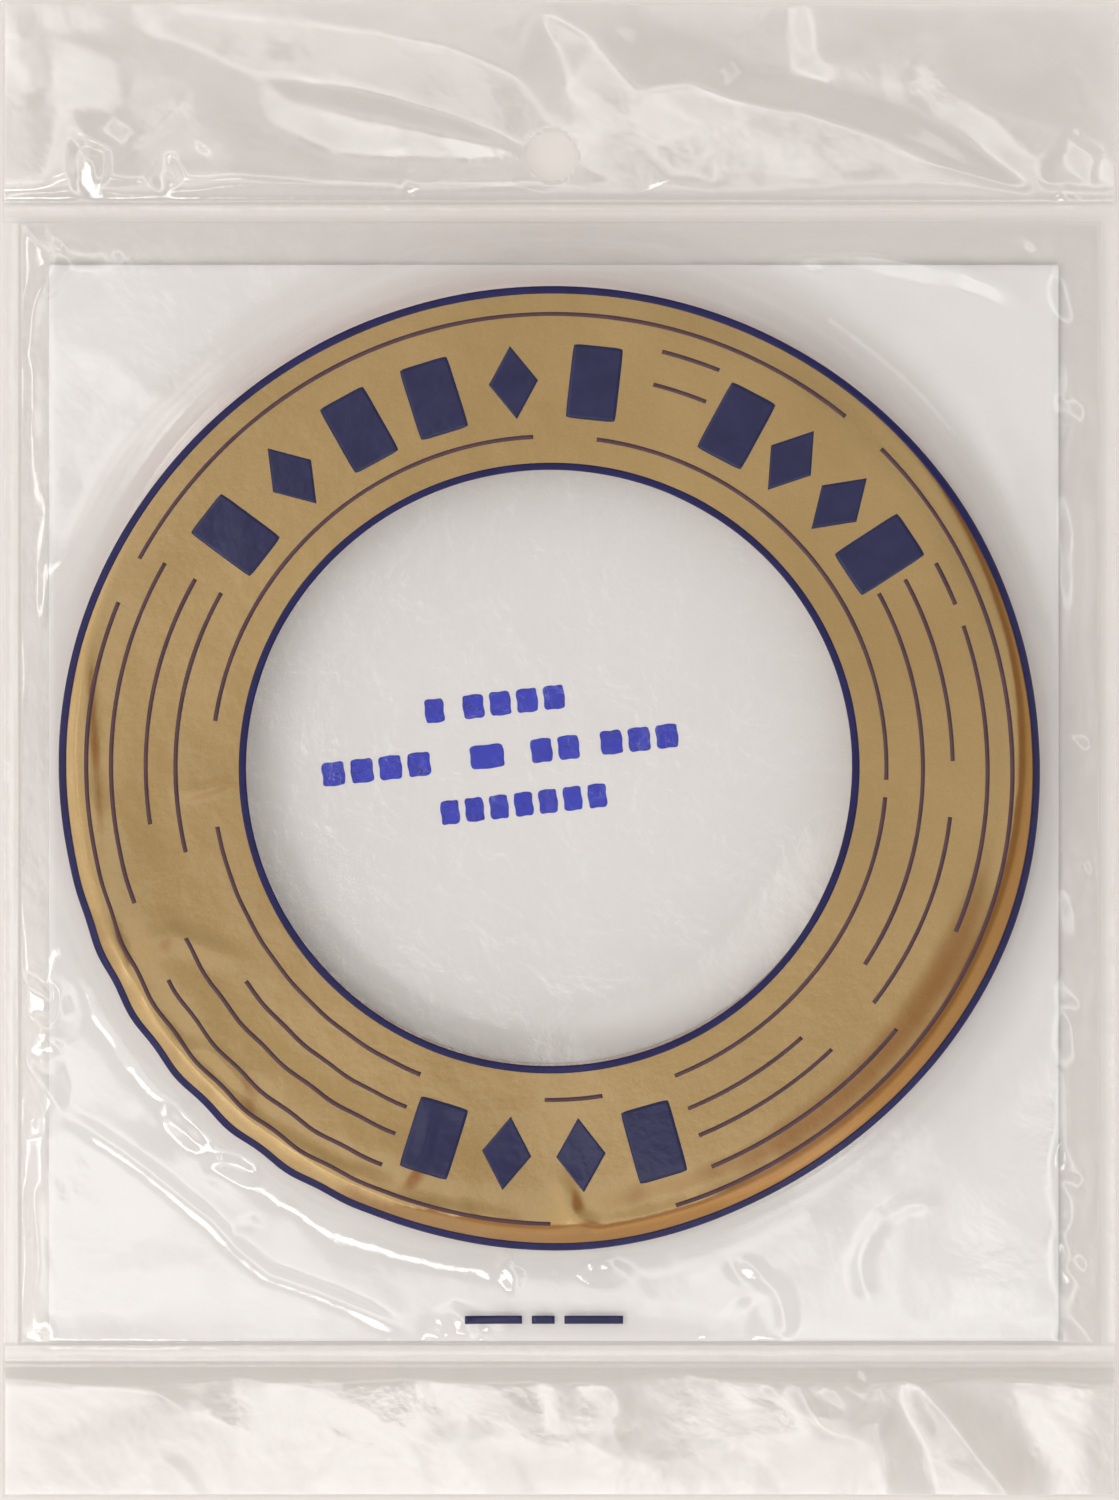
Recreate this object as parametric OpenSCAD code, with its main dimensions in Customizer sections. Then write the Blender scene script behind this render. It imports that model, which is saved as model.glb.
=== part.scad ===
// Roll of copper foil tape lying on a backing card, sealed in a flat
// clear film pouch with a printed front.
// Frame: +Z up out of the printed front, +Y towards the hang hole,
// origin at the middle of the pouch on its back face. Millimetres.

/* [Pouch] */
// Width of the pouch across its side welds
pouch_w = 136.9; // [136:0.1:150]
// Length of the pouch from skirt edge to header edge
pouch_l = 183.6; // [183:0.1:200]
// Thickness of one layer of film
film_t = 0.1; // [0.05:0.01:0.15]
// Width of the welded strips along the edges of the pocket
weld_w = 2; // [1.5:0.1:2.1]
// Length of the header film above the top seal
header_l = 24.2; // [14:0.1:24.2]
// Length of the skirt film below the bottom seal
skirt_l = 16; // [6:0.1:16]
// Gap on each side of a fold line
fold_gap = 0.3; // [0.3:0.05:0.5]
// Thickness of the folded rim where the front film meets the back film
rim_t = 0.3; // [0.2:0.05:0.3]

/* [Hang hole] */
// Diameter of the punched hang hole
hang_d = 6.1; // [4:0.1:8]
// Distance from the hole centre to the edge of the header
hang_from_edge = 18.9; // [8:0.1:19]
// Sideways place of the hole centre
hang_x = -1; // [-10:0.5:10]

/* [Backing card] */
// Width of the card
card_w = 124; // [110:0.5:124]
// Length of the card
card_l = 132.2; // [110:0.1:132.4]
// Thickness of the card
card_t = 0.5; // [0.3:0.05:0.5]
// Sideways place of the card's centre
card_x = -0.7; // [-1:0.1:1]

/* [Roll] */
// Inner diameter of the core
core_id = 76.2; // [70:0.1:78]
// Wall thickness of the core
core_wall = 2.4; // [1:0.1:3]
// Amount by which the core is narrower than the tape
core_inset = 0.16; // [0:0.02:0.6]
// Width of the tape
tape_w = 5.56; // [4.5:0.01:5.56]
// Thickness of the foil with its adhesive
foil_t = 0.06; // [0.04:0.01:0.06]
// Thickness of the release liner
liner_t = 0.09; // [0.05:0.01:0.09]
// Outer diameter of the wound tape without its outermost turn
winding_od = 112.6; // [100:0.1:112.6]
// Sideways place of the roll's axis
roll_x = -1.3; // [-1.5:0.1:1]
// Place of the roll's axis along the pouch
roll_y = -0.3; // [-2:0.1:0]
// Gap under the roll
roll_gap = 0.3; // [0.1:0.05:0.3]

/* [Tape end] */
// Length of the loose end of the tape
end_l = 13.5; // [8:0.5:16]
// Angle round the roll where the loose end starts
end_angle = -38; // [-90:1:90]

/* [Printing] */
// Sideways place of the printed ring's centre
print_x = -1.1; // [-3:0.1:1]
// Place of the printed ring's centre along the pouch
print_y = -2.2; // [-4:0.1:0]
// Outer radius of the printed ring
ring_r = 59.9; // [57:0.1:60.5]
// Inner radius of the printed ring
ring_bore_r = 37; // [36:0.1:38]
// Width of the outlines
outline_w = 1; // [0.6:0.1:1.2]
// Width of the thin dashed lines
line_w = 0.6; // [0.3:0.05:0.8]
// Thickness of one layer of ink
ink_t = 0.05; // [0.02:0.01:0.08]
// Tilt of the stamped rows on the card
stamp_tilt = 6.5; // [-10:0.5:10]
// Gap between the blocks of a stamped row
stamp_gap = 0.7; // [0.4:0.1:0.9]

/* [Hidden] */
$fn = 96;

// heights
card_z = film_t + 0.05;
card_top = card_z + card_t;
margin_zi = card_top + 0.1;
margin_zo = margin_zi + film_t;
roll_z = card_top + roll_gap;
roll_top = roll_z + tape_w;
tent_zi = roll_top + 0.25;
tent_zo = tent_zi + film_t;

// places along the pouch
half_w = pouch_w / 2;
half_l = pouch_l / 2;
header_y = half_l - header_l;
header_fold_y = header_y - fold_gap;
top_seal_y1 = header_fold_y - fold_gap;
top_seal_y0 = top_seal_y1 - weld_w - 0.1;
skirt_y = -half_l + skirt_l;
skirt_fold_y = skirt_y + fold_gap;
bot_seal_y0 = skirt_fold_y + fold_gap;
bot_seal_y1 = bot_seal_y0 + weld_w + 0.1;
pocket_x = half_w - weld_w;
pocket_y0 = bot_seal_y1;
pocket_y1 = top_seal_y0;
hang_y = half_l - hang_from_edge;
card_y0 = pocket_y0 + rim_t + 0.2;

// radii
core_r = core_id / 2;
core_ro = core_r + core_wall;
wind_r = winding_od / 2;
liner_ro = wind_r + liner_t;
foil_ro = liner_ro + foil_t;
tent_r = foil_ro + 1.35;
tent_base = tent_r + 6.5;
end_span = end_l / foil_ro * 180 / PI;
slit = 0.12;
// stand-off of the loose end from the turn under it
end_off = 0.1;

// thin dashed lines of the print: [line number, start, end], angles
// clockwise from the top of the ring
line_r = [41.2, 45.6, 49.2, 53.4, 56.4];
dashes = [
  [4, -63, 40], [4, 46, 164], [4, 180, 291],
  [3, 15, 23], [3, 62, 68], [3, 71, 112], [3, 127, 158], [3, 203, 241], [3, 252, 298],
  [2, 15, 23], [2, 62, 89], [2, 97, 126], [2, 135, 158], [2, 203, 245], [2, 262, 298],
  [1, 62, 122], [1, 137, 158], [1, 203, 235], [1, 257, 298],
  [0, 8, 92], [0, 95, 158], [0, 171, 181], [0, 203, 260], [0, 278, 357]
];

// plain marks in the printed band: middle radius, height and width
mark_r = 48.1;
mark_h = 9.2;
mark_w = 6.2;
upper_bars = [-53.5, -29.5, -17.5, 6.5, 28.5, 57];
upper_diamonds = [-41.5, -5.5, 38, 47.5];
lower_bars = [164.5, 197.5];
lower_diamonds = [175.5, 186.5];

// block given by its low and high corners
module block(a, b) {
  translate(a) cube([b[0] - a[0], b[1] - a[1], b[2] - a[2]]);
}

// flat ring standing on z0
module ring(ri, ro, z0, z1) {
  translate([0, 0, z0]) difference() {
    cylinder(r = ro, h = z1 - z0);
    translate([0, 0, -1]) cylinder(r = ri, h = z1 - z0 + 2);
  }
}

// part of a flat ring from angle a over the span s, anticlockwise from +X
module sector(ri, ro, z0, z1, a, s) {
  translate([0, 0, z0]) rotate([0, 0, a]) rotate_extrude(angle = s)
    translate([ri, 0]) square([ro - ri, z1 - z0]);
}

module on_roll() { translate([roll_x, roll_y, 0]) children(); }
module on_print() { translate([print_x, print_y, 0]) children(); }

// thin skin lying on the outside of the tented front film,
// from height a to height b above it
module skin(a, b) {
  on_roll() rotate_extrude() polygon([
    [0, tent_zo + a], [tent_r, tent_zo + a], [tent_base, margin_zo + a],
    [tent_base, margin_zo + b], [tent_r, tent_zo + b], [0, tent_zo + b]]);
}

// ---- pouch ----

module back_film() {
  color([0.93, 0.92, 0.91, 0.5])
    block([-pocket_x, pocket_y0, 0], [pocket_x, pocket_y1, film_t]);
}

module front_film() {
  color([0.93, 0.92, 0.91, 0.5]) union() {
    difference() {
      block([-pocket_x, pocket_y0, margin_zi], [pocket_x, pocket_y1, margin_zo]);
      on_roll() translate([0, 0, -1]) cylinder(r = tent_base - 0.2, h = 9);
    }
    on_roll() rotate_extrude() polygon([
      [0, tent_zi], [tent_r, tent_zi], [tent_base, margin_zi],
      [tent_base + 0.15, margin_zi], [tent_base + 0.15, margin_zo],
      [tent_base, margin_zo], [tent_r, tent_zo], [0, tent_zo]]);
    difference() {
      block([-pocket_x, pocket_y0, film_t], [pocket_x, pocket_y1, margin_zo]);
      block([-pocket_x + rim_t, pocket_y0 + rim_t, -1],
            [pocket_x - rim_t, pocket_y1 - rim_t, margin_zo + 1]);
    }
  }
}

module left_side_weld() {
  color([0.9, 0.9, 0.9, 0.6])
    block([-half_w, pocket_y0, 0], [-pocket_x, pocket_y1, 2 * film_t]);
}

module right_side_weld() {
  color([0.9, 0.9, 0.9, 0.6])
    block([pocket_x, pocket_y0, 0], [half_w, pocket_y1, 2 * film_t]);
}

module top_seal() {
  color([0.9, 0.9, 0.9, 0.6])
    block([-half_w, top_seal_y0, 0], [half_w, top_seal_y1, 2 * film_t]);
}

module bottom_seal() {
  color([0.9, 0.9, 0.9, 0.6])
    block([-half_w, bot_seal_y0, 0], [half_w, bot_seal_y1, 2 * film_t]);
}

module header_sheet(z0, z1) {
  difference() {
    block([-half_w, header_y, z0], [half_w, half_l, z1]);
    translate([hang_x, hang_y, z0 - 1]) cylinder(d = hang_d, h = 3);
  }
}

module header_front_film() {
  color([0.93, 0.92, 0.91, 0.5]) header_sheet(film_t, 2 * film_t);
}

module header_back_film() {
  color([0.93, 0.92, 0.91, 0.5]) header_sheet(0, film_t);
}

module skirt_front_film() {
  color([0.93, 0.92, 0.91, 0.5])
    block([-half_w, -half_l, film_t], [half_w, skirt_y, 2 * film_t]);
}

module skirt_back_film() {
  color([0.93, 0.92, 0.91, 0.5])
    block([-half_w, -half_l, 0], [half_w, skirt_y, film_t]);
}

// ---- card ----

module backing_card() {
  color("whitesmoke")
    block([card_x - card_w / 2, card_y0, card_z],
          [card_x + card_w / 2, card_y0 + card_l, card_top]);
}

// ---- roll ----

module core_ring() {
  color("burlywood") on_roll()
    ring(core_r, core_ro, roll_z + core_inset / 2, roll_top - core_inset / 2);
}

module tape_winding() {
  color("peru") on_roll() ring(core_ro, wind_r, roll_z, roll_top);
}

module outer_turn_liner() {
  color("oldlace") on_roll()
    sector(wind_r, liner_ro, roll_z, roll_top, end_angle + slit, 360 - end_span - 2 * slit);
}

module outer_turn_foil() {
  color("chocolate") on_roll()
    sector(liner_ro, foil_ro, roll_z, roll_top, end_angle + slit, 360 - end_span - 2 * slit);
}

module tape_end_liner() {
  color("oldlace") on_roll()
    sector(wind_r + end_off, liner_ro + end_off, roll_z, roll_top,
           end_angle - end_span + slit, end_span - 2 * slit);
}

module tape_end_foil() {
  color("chocolate") on_roll()
    sector(liner_ro + end_off, foil_ro + end_off, roll_z, roll_top,
           end_angle - end_span + slit, end_span - 2 * slit);
}

// ---- printing ----

module gold_ring_print() {
  color([0.72, 0.6, 0.37]) intersection() {
    skin(0, ink_t);
    on_print() ring(ring_bore_r, ring_r, margin_zi, tent_zo + 1);
  }
}

module outer_outline_print() {
  color("midnightblue") intersection() {
    skin(ink_t, 2 * ink_t);
    on_print() ring(ring_r - outline_w, ring_r, margin_zi, tent_zo + 1);
  }
}

module inner_outline_print() {
  color("midnightblue") intersection() {
    skin(ink_t, 2 * ink_t);
    on_print() ring(ring_bore_r, ring_bore_r + outline_w, margin_zi, tent_zo + 1);
  }
}

module dashed_line_print() {
  color([0.4, 0.25, 0.3]) intersection() {
    skin(ink_t, 2 * ink_t);
    on_print() for (d = dashes)
      sector(line_r[d[0]] - line_w / 2, line_r[d[0]] + line_w / 2,
             margin_zi, tent_zo + 1, 90 - d[2], d[2] - d[1]);
  }
}

// plain bar and plain diamond, pointing outwards at the angle a
// clockwise from the top
module bar_mark(a) {
  on_print() rotate([0, 0, -a])
    block([-mark_w / 2, mark_r - mark_h / 2, tent_zo + ink_t],
          [mark_w / 2, mark_r + mark_h / 2, tent_zo + 2 * ink_t]);
}

module diamond_mark(a) {
  on_print() rotate([0, 0, -a]) translate([0, mark_r, tent_zo + ink_t])
    linear_extrude(ink_t) polygon([[-mark_w / 2, 0], [0, -mark_h / 2],
                                   [mark_w / 2, 0], [0, mark_h / 2]]);
}

module upper_mark_print() {
  color("midnightblue") {
    for (a = upper_bars) bar_mark(a);
    for (a = upper_diamonds) diamond_mark(a);
  }
}

module lower_mark_print() {
  color("midnightblue") {
    for (a = lower_bars) bar_mark(a);
    for (a = lower_diamonds) diamond_mark(a);
  }
}

// row of n plain blocks stamped on the card: middle x, row height y, length
module stamp_row(x, y, l, n) {
  w = (l - (n - 1) * stamp_gap) / n;
  translate([-7.1, -0.6, 0]) rotate([0, 0, stamp_tilt])
    for (i = [0:n - 1])
      let (x0 = x - l / 2 + i * (w + stamp_gap))
        block([x0, y - 1.5, card_top], [x0 + w, y + 1.5, card_top + ink_t]);
}

module stamped_bar_print() {
  color([0.1, 0.15, 0.65]) {
    stamp_row(-7.6, 6.3, 2.4, 1);
    stamp_row(2.2, 6.3, 12.6, 4);
    stamp_row(-15.5, 0, 13.4, 4);
    stamp_row(-1.8, 0, 4.2, 1);
    stamp_row(6.6, 0, 6, 2);
    stamp_row(17, 0, 9.6, 3);
    stamp_row(2, -6.3, 20.5, 7);
  }
}

module footer_bar(x0, x1) {
  block([x0, -70.4, margin_zo], [x1, -69.4, margin_zo + ink_t]);
}

module footer_bar_print() {
  color("midnightblue") {
    footer_bar(-11.6, -4.6);
    footer_bar(-3.4, -0.6);
    footer_bar(0.6, 7.8);
  }
}

back_film();
front_film();
left_side_weld();
right_side_weld();
top_seal();
bottom_seal();
header_front_film();
header_back_film();
skirt_front_film();
skirt_back_film();
backing_card();
core_ring();
tape_winding();
outer_turn_liner();
outer_turn_foil();
tape_end_liner();
tape_end_foil();
gold_ring_print();
outer_outline_print();
inner_outline_print();
dashed_line_print();
upper_mark_print();
lower_mark_print();
stamped_bar_print();
footer_bar_print();
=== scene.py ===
import bpy
import math
import numpy as np
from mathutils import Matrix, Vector
from mathutils.geometry import delaunay_2d_cdt


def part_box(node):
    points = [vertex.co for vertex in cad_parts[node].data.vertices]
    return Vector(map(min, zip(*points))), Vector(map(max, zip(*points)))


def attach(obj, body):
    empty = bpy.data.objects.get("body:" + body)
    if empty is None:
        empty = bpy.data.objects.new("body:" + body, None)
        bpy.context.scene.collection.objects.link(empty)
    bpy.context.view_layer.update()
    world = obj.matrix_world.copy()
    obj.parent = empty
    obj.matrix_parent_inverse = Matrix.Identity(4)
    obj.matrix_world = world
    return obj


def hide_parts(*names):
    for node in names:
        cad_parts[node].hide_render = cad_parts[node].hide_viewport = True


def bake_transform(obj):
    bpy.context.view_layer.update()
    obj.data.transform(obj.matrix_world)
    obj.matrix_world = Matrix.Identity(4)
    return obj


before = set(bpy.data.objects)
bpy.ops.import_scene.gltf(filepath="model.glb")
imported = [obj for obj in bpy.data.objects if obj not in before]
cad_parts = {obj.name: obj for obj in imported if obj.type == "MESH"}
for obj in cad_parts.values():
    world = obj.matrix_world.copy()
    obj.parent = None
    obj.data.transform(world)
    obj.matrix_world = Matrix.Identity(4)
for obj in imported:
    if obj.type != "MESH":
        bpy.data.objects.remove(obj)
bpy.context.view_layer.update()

MM = 0.001
PX = 0.1229                     # millimetres for one pixel of the 1119 x 1500 frame


def pxy(x, y):
    """Frame pixel to millimetres in the row frame."""
    return (x - 560.0) * PX, (750.0 - y) * PX


# ------------------------------------------------------------------ places
def lohi(node):
    lo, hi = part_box(node)
    return np.array(lo) * 1000, np.array(hi) * 1000


core_lo, core_hi = lohi("core_ring")
wind_lo, wind_hi = lohi("tape_winding")
card_lo, card_hi = lohi("backing_card")
tseal_lo, tseal_hi = lohi("top_seal")
bseal_lo, bseal_hi = lohi("bottom_seal")
lweld_lo, lweld_hi = lohi("left_side_weld")
rweld_lo, rweld_hi = lohi("right_side_weld")
head_lo, head_hi = lohi("header_back_film")
skirt_lo, skirt_hi = lohi("skirt_back_film")
ring_lo, ring_hi = lohi("gold_ring_print")
foil_lo, foil_hi = lohi("outer_turn_foil")

RX, RY = (core_lo[0] + core_hi[0]) / 2, (core_lo[1] + core_hi[1]) / 2
CORE_R = 38.1
CORE_RO = (core_hi[0] - core_lo[0]) / 2
WIND_R = (wind_hi[0] - wind_lo[0]) / 2
ROLL_Z0, ROLL_Z1 = wind_lo[2], wind_hi[2]
CARD_TOP = card_hi[2]
PX0, PY0 = (ring_lo[0] + ring_hi[0]) / 2, (ring_lo[1] + ring_hi[1]) / 2
HALF_W = head_hi[0]
HALF_L = head_hi[1]
HANG_X, HANG_Y, HANG_R = -1.0, HALF_L - 18.9, 3.05
POCK_X = lweld_hi[0]            # inner edge of the left weld, negative
POCK_Y0, POCK_Y1 = bseal_hi[1], tseal_lo[1]
FILM_T = 0.1

rng = np.random.RandomState(20485)

# ------------------------------------------------------------------ grid
NX = 305
NY = 409
GX = np.linspace(-HALF_W, HALF_W, NX)
GY = np.linspace(-HALF_L, HALF_L, NY)
XX, YY = np.meshgrid(GX, GY)            # [iy, ix]
DX = GX[1] - GX[0]
DY = GY[1] - GY[0]


def smooth(a, e0, e1):
    t = np.clip((a - e0) / (e1 - e0), 0, 1)
    return t * t * (3 - 2 * t)


def blur(a, mm):
    """Soft blur of a grid field by about mm millimetres, by repeated small box filters."""
    n = max(1, int(round((mm / DX) ** 2 * 1.5)))
    for _ in range(n):
        p = np.pad(a, 1, mode="edge")
        a = (p[:-2, 1:-1] + 2 * p[1:-1, 1:-1] + p[2:, 1:-1]) / 4
        p = np.pad(a, 1, mode="edge")
        a = (p[1:-1, :-2] + 2 * p[1:-1, 1:-1] + p[1:-1, 2:]) / 4
    return a


def facets(points, heights, edges=()):
    """Height field of flat triangles between the points, as crumpled film is. edges are pairs of points that a crease joins."""
    pts = [Vector((float(x), float(y))) for x, y in points]
    verts, _, tris, orig, _, _ = delaunay_2d_cdt(pts, [tuple(e) for e in edges], [], 0, 1e-6)
    P0, H0 = np.array(points, float), np.array(heights, float)
    hh = []
    for v, o in zip(verts, orig):
        if o:
            hh.append(float(H0[o[0]]))
        else:                       # where two creases cross
            w = 1 / (np.hypot(P0[:, 0] - v[0], P0[:, 1] - v[1]) + 1e-6) ** 3
            hh.append(float((w * H0).sum() / w.sum()))
    out = np.zeros_like(XX)
    for tri in tris:
        (x0, y0), (x1, y1), (x2, y2) = [tuple(verts[i]) for i in tri]
        h0, h1, h2 = [hh[i] for i in tri]
        det = (y1 - y2) * (x0 - x2) + (x2 - x1) * (y0 - y2)
        if abs(det) < 1e-9:
            continue
        ix0 = max(0, int(np.floor((min(x0, x1, x2) - GX[0]) / DX)))
        ix1 = min(NX - 1, int(np.ceil((max(x0, x1, x2) - GX[0]) / DX)))
        iy0 = max(0, int(np.floor((min(y0, y1, y2) - GY[0]) / DY)))
        iy1 = min(NY - 1, int(np.ceil((max(y0, y1, y2) - GY[0]) / DY)))
        if ix1 < ix0 or iy1 < iy0:
            continue
        X = XX[iy0:iy1 + 1, ix0:ix1 + 1]
        Y = YY[iy0:iy1 + 1, ix0:ix1 + 1]
        a = ((y1 - y2) * (X - x2) + (x2 - x1) * (Y - y2)) / det
        b = ((y2 - y0) * (X - x2) + (x0 - x2) * (Y - y2)) / det
        c = 1 - a - b
        inside = (a >= -1e-6) & (b >= -1e-6) & (c >= -1e-6)
        z = a * h0 + b * h1 + c * h2
        part = out[iy0:iy1 + 1, ix0:ix1 + 1]
        part[inside] = z[inside]
    return out


def folded(lines):
    """Height field through the polylines of (frame x, frame y, height in mm), each a crease."""
    pts, hs, ed = [], [], []
    for line in lines:
        n0 = len(pts)
        for i, (x, y, h) in enumerate(line):
            pts.append(pxy(x, y))
            hs.append(h)
            if i:
                ed.append((n0 + i - 1, n0 + i))
    return facets(pts, hs, ed)


def jittered(step, stretch=1.0, seed=1, angle=0.0):
    """Points on a jittered grid that covers the pouch with room to spare."""
    r = np.random.RandomState(seed)
    pts = []
    ca, sa = math.cos(angle), math.sin(angle)
    n = int(150 / step) + 2
    for i in range(-n, n + 1):
        for j in range(-n, n + 1):
            u = (i + r.uniform(-0.42, 0.42)) * step * stretch
            v = (j + r.uniform(-0.42, 0.42)) * step
            x = u * ca - v * sa
            y = u * sa + v * ca
            if abs(x) < HALF_W + 3 * step * stretch and abs(y) < HALF_L + 3 * step * stretch:
                pts.append((x, y))
    return pts, r


def crumple(step, seed, stretch=1.0, angle=0.0, power=1.0):
    pts, r = jittered(step, stretch, seed, angle)
    h = r.uniform(0, 1, len(pts)) ** power
    return facets(pts, h)


def ridge(points, width, height, side=0.5, taper=0.25, power=1.2):
    """A crease along a polyline of millimetre points. side is how much of the width lies on the left of the way it runs."""
    best = np.full_like(XX, 0.0)
    pts = np.array(points, float)
    seg = np.hypot(*(pts[1:] - pts[:-1]).T)
    total = seg.sum()
    run = 0.0
    for (x0, y0), (x1, y1), L in zip(pts[:-1], pts[1:], seg):
        tx, ty = (x1 - x0) / L, (y1 - y0) / L
        t = (XX - x0) * tx + (YY - y0) * ty
        s = -(XX - x0) * ty + (YY - y0) * tx
        tc = np.clip(t, 0, L)
        over = t - tc
        dist = np.hypot(s, over)
        w = np.where(s > 0, width * 2 * side, width * 2 * (1 - side))
        p = np.clip(1 - dist / w, 0, 1) ** power
        along = (run + tc) / total
        end = np.clip(np.minimum(along, 1 - along) / taper, 0, 1) ** 0.7
        best = np.maximum(best, p * end * height)
        run += L
    return best


def blob(x, y, rx, ry, angle=0.0):
    """Soft round mask of one, in frame pixels."""
    cx, cy = pxy(x, y)
    a = math.radians(angle)
    u = (XX - cx) * math.cos(a) + (YY - cy) * math.sin(a)
    v = -(XX - cx) * math.sin(a) + (YY - cy) * math.cos(a)
    q = np.hypot(u / (rx * PX), v / (ry * PX))
    return 1 - smooth(q, 0.45, 1.0)


def P(*xy):
    return [pxy(x, y) for x, y in zip(xy[::2], xy[1::2])]


# ------------------------------------------------------------------ film shape
RR = np.hypot(XX - RX, YY - RY)
TH = np.arctan2(YY - RY, XX - RX)
RIM = 57.35
CARD_UP = 4.5            # how far the card slides up under the film
d = RR - RIM
on_card = (smooth(XX, card_lo[0] - 0.7, card_lo[0] + 0.1) * (1 - smooth(XX, card_hi[0] - 0.1, card_hi[0] + 0.7))
           * smooth(YY, card_lo[1] - 0.7, card_lo[1] + 0.1) * (1 - smooth(YY, card_hi[1] + CARD_UP, card_hi[1] + CARD_UP + 0.7)))
pocket_edge = np.minimum(np.minimum(XX - POCK_X, -POCK_X - XX), np.minimum(YY - POCK_Y0, POCK_Y1 - YY))
in_pocket = smooth(pocket_edge, 0, 3.5)
floor_z = 0.22 + (CARD_TOP + 0.12 - 0.22) * np.maximum(on_card, np.clip((pocket_edge - 0.3) / 3.3, 0, 1))
near = np.clip(d, 0, None)
g = 1 / (1 + (near / 3.6) ** 2.3)
g = g * (1 - smooth(near, 14, 40))
TOP = ROLL_Z1 + 0.18
base = floor_z + (TOP - floor_z) * g * smooth(pocket_edge, 0, 5.5)
sag = 0.30 * np.clip(1 - (RR / 36.0) ** 2, 0, 1) ** 2
base = base - sag
lower_right = smooth(np.cos(TH - math.radians(-52)), 0.72, 0.93)
pillow = 0.10 + 0.38 * lower_right
base = base + pillow * smooth(RR, 30, 40) * (1 - smooth(RR, 53.2 - 1.6 * lower_right, 56.9 + 1.7 * lower_right))

header = smooth(YY, tseal_hi[1], tseal_hi[1] + 1.6)
skirt = 1 - smooth(YY, bseal_lo[1] - 1.6, bseal_lo[1])
pressed = (smooth(YY, tseal_lo[1] - 0.8, tseal_lo[1]) * (1 - smooth(YY, tseal_hi[1], tseal_hi[1] + 0.8))
           + smooth(YY, bseal_lo[1] - 0.8, bseal_lo[1]) * (1 - smooth(YY, bseal_hi[1], bseal_hi[1] + 0.8))
           + (1 - smooth(XX, POCK_X, POCK_X + 0.8)) * (YY < tseal_hi[1]) * (YY > bseal_lo[1])
           + smooth(XX, -POCK_X - 0.8, -POCK_X) * (YY < tseal_hi[1]) * (YY > bseal_lo[1]))
pressed = np.clip(pressed, 0, 1)
plateau = 1 - smooth(d, -1.0, 2.0)
slope = smooth(d, -1.5, 1.5) * (1 - smooth(d, 9, 15))
outer = smooth(d, 5, 11) * in_pocket * (1 - header) * (1 - skirt)

big = crumple(13, 11, 1.5, -0.45)
mid = crumple(6.5, 23, 1.3, -0.35)
fine = crumple(3.0, 37, 1.2, 0.3)
tiny = crumple(1.7, 41, 1.1, 0.9)

# where small sharp crumples sit, in frame pixels
sparks = np.zeros_like(XX)
for bx, by, brx, bry, ang, amp in [
        (95, 175, 45, 62, 0, 1.0), (240, 190, 110, 26, -8, 0.8), (410, 202, 14, 16, 0, 0.9), (88, 250, 45, 18, 0, 0.9),
        (1078, 160, 45, 36, 0, 0.9), (1066, 212, 34, 22, 0, 0.9), (1080, 285, 34, 46, 0, 0.8), (25, 60, 24, 60, 0, 0.4),
        (1085, 400, 26, 60, 0, 0.7), (1082, 560, 24, 60, 0, 0.5), (1082, 740, 26, 46, 0, 0.9), (1090, 868, 24, 34, 0, 1.0), (1080, 1000, 26, 60, 0, 0.6),
        (1072, 1175, 22, 60, 0, 0.8), (1078, 1265, 28, 40, 0, 0.7),
        (45, 1010, 44, 46, 0, 0.8), (35, 1090, 40, 50, 0, 0.9), (30, 520, 16, 200, 0, 0.35),
        (240, 1166, 30, 16, -20, 0.9), (180, 1130, 60, 34, -30, 0.4), (462, 1325, 46, 26, 0, 1.0), (560, 1352, 60, 14, 0, 0.5), (606, 1270, 30, 16, 0, 0.7), (503, 1270, 20, 12, 0, 0.7),
        (772, 1318, 26, 44, 0, 0.7), (840, 1392, 40, 36, 0, 0.6), (180, 1350, 130, 10, 0, 0.4), (900, 60, 90, 40, 20, 0.25), (760, 150, 110, 36, -14, 0.25), (460, 1360, 70, 12, 0, 0.5)]:
    sparks = np.maximum(sparks, amp * blob(bx, by, brx, bry, ang))

amp_big = 0.34 * header + 0.22 * skirt + 0.45 * outer * (1 - smooth(-d, -12, -5))
amp_mid = 0.30 * header + 0.16 * skirt + 0.20 * outer + 0.08 * slope
right_margin = smooth(XX, card_hi[0] - 0.5, card_hi[0] + 1.5) * (1 - header) * (1 - skirt)
amp_mid = amp_mid + 0.40 * right_margin
amp_fine = 0.06 * header + 0.06 * skirt + 0.045 * outer + 0.04 * slope + 0.60 * sparks
amp_tiny = 0.015 + 0.26 * sparks
wrinkle = amp_big * big + amp_mid * mid + amp_fine * fine + amp_tiny * 0.6 * tiny

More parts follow.
